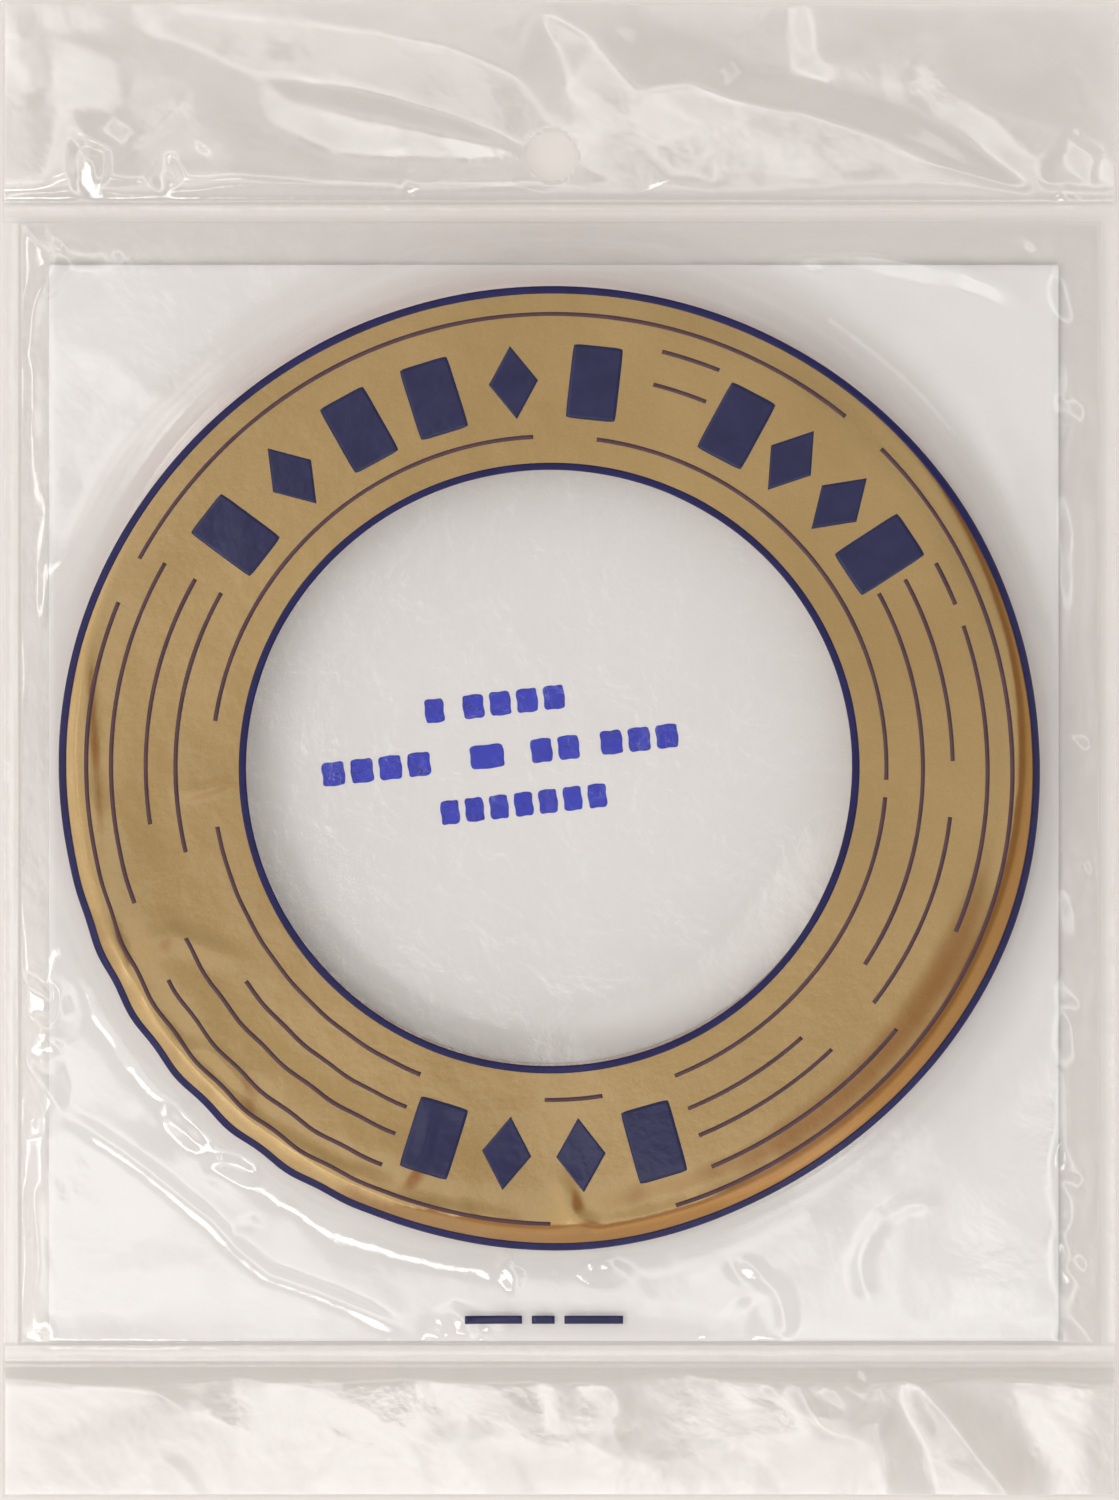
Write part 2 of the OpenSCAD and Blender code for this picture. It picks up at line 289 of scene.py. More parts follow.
# the header's folds run out from the hang hole; each line is one crease
header_folds = folded([
    [(-60, -40, 0.9), (120, -40, 0.8), (190, -40, 1.5), (300, -40, 1.9), (420, -40, 2.2), (520, -40, 2.4), (610, -40, 1.2), (700, -40, 0.7), (800, -40, 1.5), (900, -40, 0.8), (1000, -40, 1.3), (1180, -40, 0.7)],
    [(190, 14, 1.7), (300, 26, 2.4), (430, 48, 2.8), (515, 78, 2.6), (546, 122, 1.7)],
    [(140, 30, 0.8), (200, 48, 0.7), (258, 76, 0.5), (373, 92, 0.6), (463, 118, 0.5), (532, 147, 0.7)],
    [(290, 100, 1.0), (400, 124, 1.15), (480, 142, 0.95)],
    [(120, 62, 1.1), (200, 88, 0.7), (270, 126, 0.5), (336, 155, 0.45), (440, 160, 0.5), (530, 160, 0.7)],
    [(40, 36, 0.6), (60, 110, 0.5), (44, 200, 0.5)],
    [(128, 118, 1.1), (96, 150, 1.5), (92, 192, 1.2), (70, 214, 0.5)],
    [(140, 150, 0.4), (160, 176, 1.0), (250, 184, 1.1), (336, 186, 0.8)],
    [(170, 206, 0.5), (260, 208, 0.6), (330, 200, 0.5)],
    [(400, 178, 0.6), (409, 200, 1.1), (420, 184, 0.6)],
    [(470, 190, 0.8), (548, 184, 0.7)],
    [(540, 12, 2.7), (600, 46, 3.1), (694, 84, 3.2), (790, 112, 3.1), (888, 142, 2.8), (965, 178, 2.1), (1037, 212, 0.9)],
    [(556, 40, 1.9), (566, 90, 2.0), (572, 136, 1.4)],
    [(580, 160, 0.7), (636, 186, 0.5), (694, 210, 0.35)],
    [(709, 196, 0.5), (830, 204, 0.45), (955, 210, 0.45)],
    [(610, 128, 1.5), (640, 150, 1.5), (676, 184, 1.4)],
    [(700, 128, 1.6), (720, 160, 1.5), (690, 190, 1.3)],
    [(800, 140, 2.0), (790, 176, 1.3)],
    [(880, 165, 1.8), (860, 192, 1.2)],
    [(640, 22, 0.9), (700, 44, 0.9), (745, 74, 1.0), (790, 76, 1.0), (850, 96, 1.1), (903, 112, 1.0), (960, 140, 0.8), (1030, 188, 0.5)],
    [(656, 66, 1.9), (640, 90, 2.6)],
    [(727, 66, 2.0), (724, 92, 2.6)],
    [(820, 62, 2.1), (850, 118, 2.5)],
    [(920, 60, 1.6), (985, 110, 1.5), (1036, 166, 1.4), (1046, 196, 1.2)],
    [(1060, 60, 0.6), (1070, 130, 1.5), (1104, 146, 1.2)],
    [(1052, 172, 0.6), (1100, 180, 0.5)],
    [(1050, 200, 1.2), (1076, 204, 1.1), (1110, 198, 0.6)],
    [(-60, 216, 0.3), (150, 216, 0.3), (300, 216, 0.3), (450, 216, 0.3), (600, 216, 0.3), (750, 216, 0.3), (900, 216, 0.3), (1050, 216, 0.3), (1180, 216, 0.3)],
])
skirt_folds = folded([
    [(-60, 1356, 0.3), (120, 1356, 0.3), (250, 1356, 0.3), (420, 1356, 0.3), (560, 1356, 0.3), (700, 1356, 0.3), (800, 1356, 0.3), (900, 1356, 0.3), (1000, 1356, 0.3), (1180, 1356, 0.3)],
    [(45, 1362, 1.0), (119, 1381, 1.5), (149, 1384, 1.6), (175, 1403, 1.8), (212, 1396, 1.1), (271, 1376, 1.1), (300, 1381, 1.3), (334, 1371, 1.0), (420, 1366, 0.6)],
    [(433, 1366, 0.7), (467, 1367, 0.9), (522, 1364, 0.7)],
    [(556, 1366, 0.9), (566, 1392, 0.8), (548, 1420, 1.0)],
    [(612, 1376, 1.1), (622, 1412, 0.8), (610, 1448, 1.0)],
    [(722, 1362, 0.8), (752, 1370, 1.0), (786, 1364, 0.7)],
    [(791, 1372, 0.8), (800, 1404, 1.3), (828, 1430, 1.9), (868, 1436, 1.6), (892, 1408, 0.9), (896, 1378, 0.8)],
    [(818, 1364, 0.9), (832, 1404, 0.5), (858, 1398, 0.5), (862, 1370, 1.0)],
    [(917, 1380, 1.2), (947, 1416, 2.1), (978, 1457, 2.4), (1012, 1496, 2.2), (1040, 1540, 2.2)],
    [(900, 1400, 0.6), (926, 1450, 0.7), (950, 1540, 0.7)],
    [(880, 1450, 1.5), (896, 1540, 1.6)],
    [(980, 1400, 0.7), (1030, 1450, 0.6), (1060, 1540, 0.6)],
    [(1090, 1380, 0.9), (1080, 1430, 1.0), (1095, 1540, 0.8)],
    [(30, 1440, 0.9), (250, 1434, 1.1), (400, 1426, 1.0), (520, 1436, 1.2), (640, 1470, 0.9), (760, 1440, 1.3)],
    [(-60, 1540, 0.4), (150, 1540, 0.3), (300, 1540, 0.5), (450, 1540, 0.3), (600, 1540, 0.5), (750, 1540, 0.4), (840, 1540, 0.5)],
])

# single creases of the pocket's margins
creases = [
    (P(60, 1112, 90, 1128, 123, 1150, 149, 1169, 213, 1221, 239, 1249, 269, 1273, 317, 1290, 358, 1307, 414, 1333), 1.15, 0.40, 0.5),
    (P(235, 1231, 246, 1224, 260, 1221), 0.9, 0.32, 0.5),
    (P(205, 1166, 222, 1160, 240, 1166, 258, 1178), 1.2, 0.42, 0.5),
    (P(166, 1108, 176, 1122, 196, 1140, 210, 1150), 1.1, 0.38, 0.5),
    (P(190, 1100, 214, 1116, 240, 1140), 1.3, 0.42, 0.5),
    (P(740, 1262, 762, 1277, 781, 1291, 788, 1333), 1.2, 0.42, 0.5),
    (P(738, 1352, 762, 1345, 788, 1338), 1.0, 0.36, 0.5),
    (P(700, 1340, 726, 1322, 750, 1300), 0.9, 0.30, 0.5),
    (P(937, 1197, 905, 1204, 883, 1218, 868, 1240, 860, 1262, 866, 1300), 1.2, 0.42, 0.5),
    (P(20, 980, 60, 1010, 20, 1060, 62, 1108), 1.3, 0.48, 0.5),
    (P(36, 300, 28, 480, 40, 660, 26, 840, 38, 960), 1.2, 0.26, 0.5),
    (P(20, 380, 34, 300, 62, 262, 70, 240), 1.2, 0.42, 0.5),
    (P(30, 1180, 40, 1260, 28, 1330), 1.4, 0.40, 0.5),
    (P(760, 262, 800, 250, 860, 250, 960, 268, 1030, 296), 1.9, 0.45, 0.3),
    (P(1058, 395, 1075, 405, 1100, 440, 1085, 470), 1.8, 0.40, 0.5),
    (P(1066, 480, 1084, 560, 1070, 640, 1090, 730, 1072, 800), 2.0, 0.36, 0.5),
    (P(1066, 880, 1092, 950, 1070, 1040, 1094, 1070), 1.8, 0.40, 0.5),
    (P(1066, 1143, 1084, 1190, 1064, 1240, 1090, 1290), 1.8, 0.40, 0.5),
    (P(980, 420, 1010, 470, 1040, 560, 1050, 700), 2.6, 0.30, 0.5),
    (P(45, 1352, 90, 1362, 119, 1378, 149, 1382, 176, 1403, 190, 1394), 1.1, 0.40, 0.5),
    (P(268, 1364, 290, 1376, 310, 1378, 336, 1360), 0.9, 0.33, 0.5),
    (P(430, 1366, 448, 1371, 468, 1362), 0.8, 0.30, 0.5),
    (P(512, 1360, 524, 1369, 534, 1364), 0.8, 0.28, 0.5),
    (P(548, 1374, 562, 1398, 556, 1428), 1.2, 0.30, 0.5),
    (P(606, 1374, 620, 1402, 610, 1446), 1.4, 0.34, 0.5),
    (P(917, 1380, 947, 1416, 978, 1457, 1012, 1496), 1.25, 0.44, 0.5),
    (P(793, 1354, 804, 1396, 826, 1428, 860, 1436, 888, 1414), 1.3, 0.44, 0.5),
    (P(838, 1352, 828, 1382, 846, 1402, 878, 1390, 898, 1370), 1.1, 0.38, 0.5),
    (P(880, 1366, 930, 1372, 1000, 1376, 1060, 1384), 1.0, 0.26, 0.5),
]


LIGHT_AT = Vector((-0.33, -0.50, 0.79)).normalized() * 1.05      # middle of the long softbox, metres
EYE_AT = Vector((0, 0, 0.80))


def leaf(x, y, long, wide, toward, lean=0.345, turn=0.0):
    """A small flat facet that leans down towards the compass angle given, in degrees from the right, with steep backs. long is its run down the lean. The steep ones lean so that they catch the long softbox."""
    cx, cy = pxy(x, y)
    a = math.radians(toward)
    if lean > 0.32:
        here = Vector((cx * MM, cy * MM, 0.001))
        along = Vector((-LIGHT_AT.y, LIGHT_AT.x, 0)).normalized()
        goal = LIGHT_AT + along * (-0.15 + 0.35 * abs(turn))
        half = (goal - here).normalized() + (EYE_AT - here).normalized()
        a = math.atan2(half.y, half.x)
        lean = math.hypot(half.x, half.y) / half.z
    u = -((XX - cx) * math.cos(a) + (YY - cy) * math.sin(a))      # grows uphill
    v = -(XX - cx) * math.sin(a) + (YY - cy) * math.cos(a) + turn * u
    rise = lean * (u + long / 2)
    back = 1.3 * (long / 2 - u)
    sides = 1.5 * (wide / 2 - np.abs(v))
    return np.clip(np.minimum(np.minimum(rise, back), sides), 0, None)


leaves = [
        (90, 172, 6.2, 4.2, -125, 0.35, 0.3), (120, 132, 4.2, 3.6, -118, 0.16, -0.3), (409, 184, 2.4, 1.7, -122, 0.345, 0.2), (66, 250, 3.0, 2.2, -120, 0.345, 0.4),
        (121, 254, 2.1, 1.6, -125, 0.345, -0.3), (166, 178, 3.6, 3.0, -150, 0.16, 0.4), (205, 150, 2.4, 2.2, -128, 0.26, 0.3),
        (1080, 158, 4.2, 4.6, -120, 0.20, 0.3), (1066, 203, 2.6, 2.4, -120, 0.34, 0.2), (1102, 262, 3.0, 3.2, -130, 0.22, 0.2), (1030, 246, 2.4, 1.8, -140, 0.30, -0.4),
        (38, 1000, 4.2, 4.6, -126, 0.35, 0.4), (52, 1048, 3.0, 2.6, -120, 0.345, -0.3), (22, 1090, 2.6, 2.4, -128, 0.34, 0.2), (34, 1128, 2.0, 2.0, -118, 0.345, 0.3),
        (510, 1272, 3.0, 3.2, -122, 0.33, 0.3), (748, 1268, 3.6, 3.0, -128, 0.345, -0.4), (606, 1262, 2.2, 2.6, -115, 0.22, 0.2),
        (436, 1334, 2.2, 1.8, -122, 0.345, 0.3), (458, 1318, 2.6, 2.2, -128, 0.345, -0.2), (482, 1338, 2.0, 2.2, -116, 0.345, 0.2), (500, 1352, 1.6, 1.3, -124, 0.34, 0.0),
        (1078, 410, 3.6, 3.4, -125, 0.24, 0.3), (1084, 742, 3.4, 3.0, -130, 0.26, -0.3), (1092, 868, 3.0, 2.8, -120, 0.345, 0.3), (1074, 1002, 3.0, 3.0, -126, 0.22, 0.3),
        (1076, 1176, 3.2, 2.8, -120, 0.30, -0.2), (1082, 1262, 3.2, 3.0, -132, 0.24, 0.3), (772, 1392, 2.4, 2.0, -120, 0.30, 0.2), (862, 1374, 2.2, 1.6, -124, 0.345, 0.2)]

fold = np.zeros_like(XX)
for pts, w, h, side in creases:
    r_ = ridge(pts, w, h, side, taper=0.12, power=1.0)
    fold = np.maximum(fold, r_) + 0.35 * np.minimum(fold, r_)

# wrinkles on the printed ring: the crushed left and lower left, and a few on the right
print_marks = [
    (P(178, 796, 205, 790, 235, 781), 0.9, 0.20, 0.5),
    (P(84, 620, 92, 700, 96, 780, 104, 860), 1.6, 0.28, 0.35),
    (P(98, 905, 126, 960, 122, 990, 150, 1020), 1.4, 0.42, 0.4),
    (P(150, 1010, 200, 1070, 240, 1110, 290, 1150), 1.6, 0.40, 0.4),
    (P(180, 1040, 260, 1120, 330, 1160, 420, 1190), 1.4, 0.36, 0.4),
    (P(230, 1110, 300, 1160, 400, 1200, 520, 1215), 1.2, 0.36, 0.5),
    (P(395, 1190, 425, 1150, 436, 1100), 1.5, 0.22, 0.5),
    (P(545, 1200, 600, 1230, 690, 1205, 760, 1180), 1.8, 0.40, 0.5),
    (P(560, 1172, 572, 1210, 612, 1240), 1.5, 0.42, 0.5),
    (P(150, 1040, 215, 1050, 260, 1100), 1.4, 0.26, 0.5),
    (P(128, 950, 175, 930, 250, 960), 2.2, 0.20, 0.4),
]
ripple = np.zeros_like(XX)
for pts, w, h, side in print_marks:
    ripple = np.maximum(ripple, ridge(pts, w, h, side, power=1.3))

lower_left = smooth(np.cos(TH - math.radians(-142)), 0.55, 0.95)
bottom = smooth(np.cos(TH - math.radians(-86)), 0.80, 0.98)
ring_zone = smooth(RR, 46, 55)
wrinkle = wrinkle + (0.24 * lower_left + 0.14 * bottom) * ring_zone * (1 - smooth(d, 6, 12)) * (0.6 * fine + 0.7 * mid)

main = header * header_folds + 0.45 * skirt * skirt_folds
H = base * (1 - header) * (1 - skirt) + 0.22 * np.maximum(header, skirt) + (wrinkle + fold * (1 - plateau)) * (1 - 0.9 * pressed) + ripple + main * (1 - pressed)
H = blur(H, 0.36)
H = H + 0.65 * (header + skirt) * (1 - pressed) * (blur(H, 0.95) - H)

# near the two fold lines the film is nearly flat, so that a folded flap clears the pocket
past = np.maximum(YY - tseal_hi[1] - 0.3, bseal_lo[1] - 0.3 - YY)
flap = (header + skirt) > 0.0
steep = np.where(YY > 0, 0.64, 0.42)
H = np.where(flap, np.minimum(H, 0.24 + np.clip(steep * past - 0.20, 0.0, None)), H)
for spec in leaves:
    lf = leaf(*spec)
    m_ = smooth(lf, 0.0, 0.05 + 0.06 * lf.max()) * (1 - pressed) * (1 - plateau)
    mid_ = float((H * (lf > 0)).sum() / max(1, (lf > 0).sum()))
    foot = mid_ - 0.45 * lf.max()
    off = float(past[np.unravel_index(np.argmin((XX - pxy(spec[0], spec[1])[0]) ** 2 + (YY - pxy(spec[0], spec[1])[1]) ** 2), XX.shape)])
    if off > 0:
        foot = min(foot, max(0.32, 0.6 * (off - spec[2] / 2) - 0.1))
    H = H * (1 - m_) + (max(foot, 0.30) + lf) * m_
H = blur(H, 0.20)
lowest = np.where(RR < 57.8, np.where(RR > CORE_R - 0.3, ROLL_Z1 + 0.14, 0), floor_z)
H = np.maximum(H, lowest)
HF = np.minimum(H, 7.18)

# back film: flat under the card, loosely following the front in the header and the skirt
back_w = (0.60 * crumple(11, 71, 1.4, 0.3) + 0.30 * crumple(5, 73, 1.2, -0.3)) * (header + skirt) + 0.30 * main + 0.25 * sparks * fine * (header + skirt)
HB = 0.1 + blur(back_w, 0.42) * (1 - pressed)
HB = np.where(flap, np.minimum(HB, 0.1 + np.clip((steep - 0.02) * past - 0.20, 0.0, None)), HB)
HB = np.minimum(HB, np.where(header + skirt > 0.01, HF - 0.13, 0.1))
HB = np.maximum(HB, 0.1)
HF = np.maximum(HF, HB + 0.105)


def sample(F, x, y):
    """Bilinear sample of a grid field at millimetre points."""
    fx = np.clip((np.asarray(x) - GX[0]) / DX, 0, NX - 1.001)
    fy = np.clip((np.asarray(y) - GY[0]) / DY, 0, NY - 1.001)
    ix, iy = fx.astype(int), fy.astype(int)
    tx, ty = fx - ix, fy - iy
    return (F[iy, ix] * (1 - tx) * (1 - ty) + F[iy, ix + 1] * tx * (1 - ty)
            + F[iy + 1, ix] * (1 - tx) * ty + F[iy + 1, ix + 1] * tx * ty)


# ------------------------------------------------------------------ mesh makers
def make(name, verts, faces, mat, shade=True):
    me = bpy.data.meshes.new(name)
    verts = np.asarray(verts, float) * MM
    if isinstance(faces, np.ndarray):
        k = faces.shape[1]
        me.vertices.add(len(verts))
        me.vertices.foreach_set("co", verts.astype(np.float32).ravel())
        me.loops.add(faces.size)
        me.loops.foreach_set("vertex_index", faces.astype(np.int32).ravel())
        me.polygons.add(len(faces))
        me.polygons.foreach_set("loop_start", np.arange(0, faces.size, k, dtype=np.int32))
        me.update(calc_edges=True)
        me.validate()
    else:
        me.from_pydata([tuple(v) for v in verts], [], faces)
        me.update()
    ob = bpy.data.objects.new(name, me)
    bpy.context.scene.collection.objects.link(ob)
    me.materials.append(mat)
    if shade:
        me.polygons.foreach_set("use_smooth", [True] * len(me.polygons))
    return ob


def shell(X, Y, Ztop, Zbot, name, mat, keep=None, wrap=False):
    """Closed thin shell between two height arrays on a quad grid. keep marks the quads that stay."""
    ny, nx = X.shape
    n = ny * nx
    verts = np.vstack([np.stack([X, Y, Ztop], -1).reshape(-1, 3), np.stack([X, Y, Zbot], -1).reshape(-1, 3)])
    idx = np.arange(n).reshape(ny, nx)
    if wrap:
        right = np.roll(idx, -1, axis=1)
        a, b, c, e = idx[:-1], right[:-1], right[1:], idx[1:]
    else:
        a, b, c, e = idx[:-1, :-1], idx[:-1, 1:], idx[1:, 1:], idx[1:, :-1]
    if keep is None:
        keep = np.ones(a.shape, bool)
    q = np.stack([a[keep], b[keep], c[keep], e[keep]], -1)
    # walls along every edge that only one quad uses
    u = q.ravel()
    v = np.roll(q, -1, axis=1).ravel()
    key = u.astype(np.int64) * n + v
    back = v.astype(np.int64) * n + u
    rim = ~np.isin(key, back)
    u, v = u[rim], v[rim]
    faces = np.vstack([q, q[:, ::-1] + n, np.stack([v, u, u + n, v + n], -1)])
    used, inv = np.unique(faces, return_inverse=True)
    return make(name, verts[used], inv.reshape(faces.shape), mat)


def grid_part(x0, x1, y0, y1):
    ix0, ix1 = int(round((x0 - GX[0]) / DX)), int(round((x1 - GX[0]) / DX))
    iy0, iy1 = int(round((y0 - GY[0]) / DY)), int(round((y1 - GY[0]) / DY))
    return slice(iy0, iy1 + 1), slice(ix0, ix1 + 1)


def film_piece(name, F, x0, x1, y0, y1, mat, hole=False, short=0.0):
    """Film between the given millimetre limits, with the hang hole cut out where asked. short is how far its top edge stops short on the right."""
    sy, sx = grid_part(x0, x1, y0, y1)
    X, Y, Z = XX[sy, sx].copy(), YY[sy, sx].copy(), F[sy, sx].copy()
    keep = None
    for A, lo_, hi_ in ((X, x0, x1), (Y, y0, y1)):
        A += (lo_ - A.min()) * (1 - smooth(A, lo_, lo_ + 3)) + (hi_ - A.max()) * smooth(A, hi_ - 3, hi_)
    if short:
        Y -= short * smooth(X, -10, 60) * smooth(Y, y1 - 5, y1)
    if hole:
        D = np.hypot(X - HANG_X, Y - HANG_Y)
        step = max(DX, DY)
        snap = np.abs(D - HANG_R) < 0.62 * step
        s = HANG_R / np.where(D > 0, D, 1)
        X = np.where(snap, HANG_X + (X - HANG_X) * s, X)
        Y = np.where(snap, HANG_Y + (Y - HANG_Y) * s, Y)
        gone = (D < HANG_R) & ~snap
        keep = ~(gone[:-1, :-1] | gone[1:, :-1] | gone[:-1, 1:] | gone[1:, 1:])
        cx = (X[:-1, :-1] + X[1:, 1:]) / 2
        cy = (Y[:-1, :-1] + Y[1:, 1:]) / 2
        keep &= np.hypot(cx - HANG_X, cy - HANG_Y) > HANG_R * 0.999
        Z = sample(F, X, Y)
    return shell(X, Y, Z, Z - FILM_T, name, mat, keep)


def drape(name, X, Y, lift, thick, mat, wrap=False):
    Z = sample(HF, X, Y)
    return shell(X, Y, Z + lift + thick, Z + lift, name, mat, wrap=wrap)


def joined(name, objs):
    """One object from several."""
    verts, faces, base_i = [], [], 0
    mat = objs[0].data.materials[0]
    for o in objs:
        me = o.data
        co = np.zeros(len(me.vertices) * 3)
        me.vertices.foreach_get("co", co)
        verts.append(co.reshape(-1, 3))
        faces += [[v + base_i for v in p.vertices] for p in me.polygons]
        base_i += len(me.vertices)
        bpy.data.objects.remove(o)
        bpy.data.meshes.remove(me)
    me = bpy.data.meshes.new(name)
    me.from_pydata([tuple(v) for v in np.vstack(verts)], [], faces)
    me.update()
    ob = bpy.data.objects.new(name, me)
    bpy.context.scene.collection.objects.link(ob)
    me.materials.append(mat)
    me.polygons.foreach_set("use_smooth", [True] * len(me.polygons))
    return ob


# ------------------------------------------------------------------ materials
def new_mat(name):
    m = bpy.data.materials.new(name)
    m.use_nodes = True
    nt = m.node_tree
    nt.nodes.clear()
    out = nt.nodes.new("ShaderNodeOutputMaterial")
    return m, nt, out


def coords(nt, scale=1.0):
    tc = nt.nodes.new("ShaderNodeTexCoord")
    mp = nt.nodes.new("ShaderNodeMapping")
    mp.inputs["Scale"].default_value = (scale, scale, scale)
    nt.links.new(tc.outputs["Object"], mp.inputs["Vector"])
    return mp.outputs["Vector"]


def noise(nt, vec, scale, detail=3.0, rough=0.5):
    n = nt.nodes.new("ShaderNodeTexNoise")
    n.inputs["Scale"].default_value = scale
    n.inputs["Detail"].default_value = detail
    n.inputs["Roughness"].default_value = rough
    nt.links.new(vec, n.inputs["Vector"])
    return n.outputs["Fac"]


def ramp(nt, fac, stops):
    r = nt.nodes.new("ShaderNodeValToRGB")
    el = r.color_ramp.elements
    while len(el) < len(stops):
        el.new(0.5)
    for e, (p, c) in zip(el, stops):
        e.position = p
        e.color = c if len(c) == 4 else (*c, 1)
    nt.links.new(fac, r.inputs["Fac"])
    return r.outputs["Color"]


def mathn(nt, op, a, b=None, clamp=False):
    n = nt.nodes.new("ShaderNodeMath")
    n.operation = op
    n.use_clamp = clamp
    for i, v in enumerate((a, b)):
        if v is None:
            continue
        if isinstance(v, (int, float)):
            n.inputs[i].default_value = v
        else:
            nt.links.new(v, n.inputs[i])
    return n.outputs[0]


def bump(nt, height, strength, dist, prev=None):
    b = nt.nodes.new("ShaderNodeBump")
    b.inputs["Strength"].default_value = strength
    b.inputs["Distance"].default_value = dist
    nt.links.new(height, b.inputs["Height"])
    if prev is not None:
        nt.links.new(prev, b.inputs["Normal"])
    return b.outputs["Normal"]


def film_material(name, haze, tint, rough, f0=0.045):
    """Thin clear film: straight-through light, a little white haze and a clear gloss that grows at grazing angles."""
    m, nt, out = new_mat(name)
    v = coords(nt)
    nb = bump(nt, noise(nt, v, 900, 4, 0.6), 0.12, 0.0002)
    nb = bump(nt, noise(nt, v, 140, 3, 0.5), 0.10, 0.0010, nb)
    tr = nt.nodes.new("ShaderNodeBsdfTransparent")
    tr.inputs["Color"].default_value = (*tint, 1)
    df = nt.nodes.new("ShaderNodeBsdfDiffuse")
    df.inputs["Color"].default_value = (0.93, 0.92, 0.91, 1)
    nt.links.new(nb, df.inputs["Normal"])
    mx = nt.nodes.new("ShaderNodeMixShader")
    hz = noise(nt, v, 55, 4, 0.6)
    hz = mathn(nt, "MULTIPLY_ADD", hz, haze * 1.2)
    hz.node.inputs[2].default_value = haze * 0.4
    nt.links.new(hz, mx.inputs["Fac"])
    nt.links.new(tr.outputs[0], mx.inputs[1])
    nt.links.new(df.outputs[0], mx.inputs[2])
    gl = nt.nodes.new("ShaderNodeBsdfGlossy")
    gl.inputs["Color"].default_value = (1, 1, 1, 1)
    gl.inputs["Roughness"].default_value = rough
    nt.links.new(nb, gl.inputs["Normal"])
    lw = nt.nodes.new("ShaderNodeLayerWeight")
    lw.inputs["Blend"].default_value = 0.5
    nt.links.new(nb, lw.inputs["Normal"])
    f = mathn(nt, "POWER", lw.outputs["Facing"], 5.0)
    f = mathn(nt, "MULTIPLY", f, 0.75)
    f = mathn(nt, "ADD", f, f0, True)
    m2 = nt.nodes.new("ShaderNodeMixShader")
    nt.links.new(f, m2.inputs["Fac"])
    nt.links.new(mx.outputs[0], m2.inputs[1])
    nt.links.new(gl.outputs[0], m2.inputs[2])
    nt.links.new(m2.outputs[0], out.inputs["Surface"])
    return m


def principled(nt, out, **kw):
    p = nt.nodes.new("ShaderNodeBsdfPrincipled")
    for k, val in kw.items():
        p.inputs[k.replace("_", " ")].default_value = val
    nt.links.new(p.outputs[0], out.inputs["Surface"])
    return p


def ink_material(name, dark, light, scale=60, rough=0.45, coat=0.25, patch=0.0):
    """Ink printed on the film: fine mottle, and the film's own clear gloss over it."""
    m, nt, out = new_mat(name)
    v = coords(nt)
    p = principled(nt, out, Roughness=rough)
    p.inputs["Specular IOR Level"].default_value = 0.22
    p.inputs["Coat Weight"].default_value = coat
    p.inputs["Coat Roughness"].default_value = 0.09
    n = noise(nt, v, scale, 5, 0.6)
    nt.links.new(ramp(nt, n, [(0.3, dark), (0.7, light)]), p.inputs["Base Color"])
    nb = bump(nt, noise(nt, v, 1500, 3, 0.6), 0.08, 0.0002)
    nb = bump(nt, noise(nt, v, 140, 3, 0.5), 0.14, 0.0010, nb)
    nt.links.new(nb, p.inputs["Normal"])
    nt.links.new(nb, p.inputs["Coat Normal"])
    return m


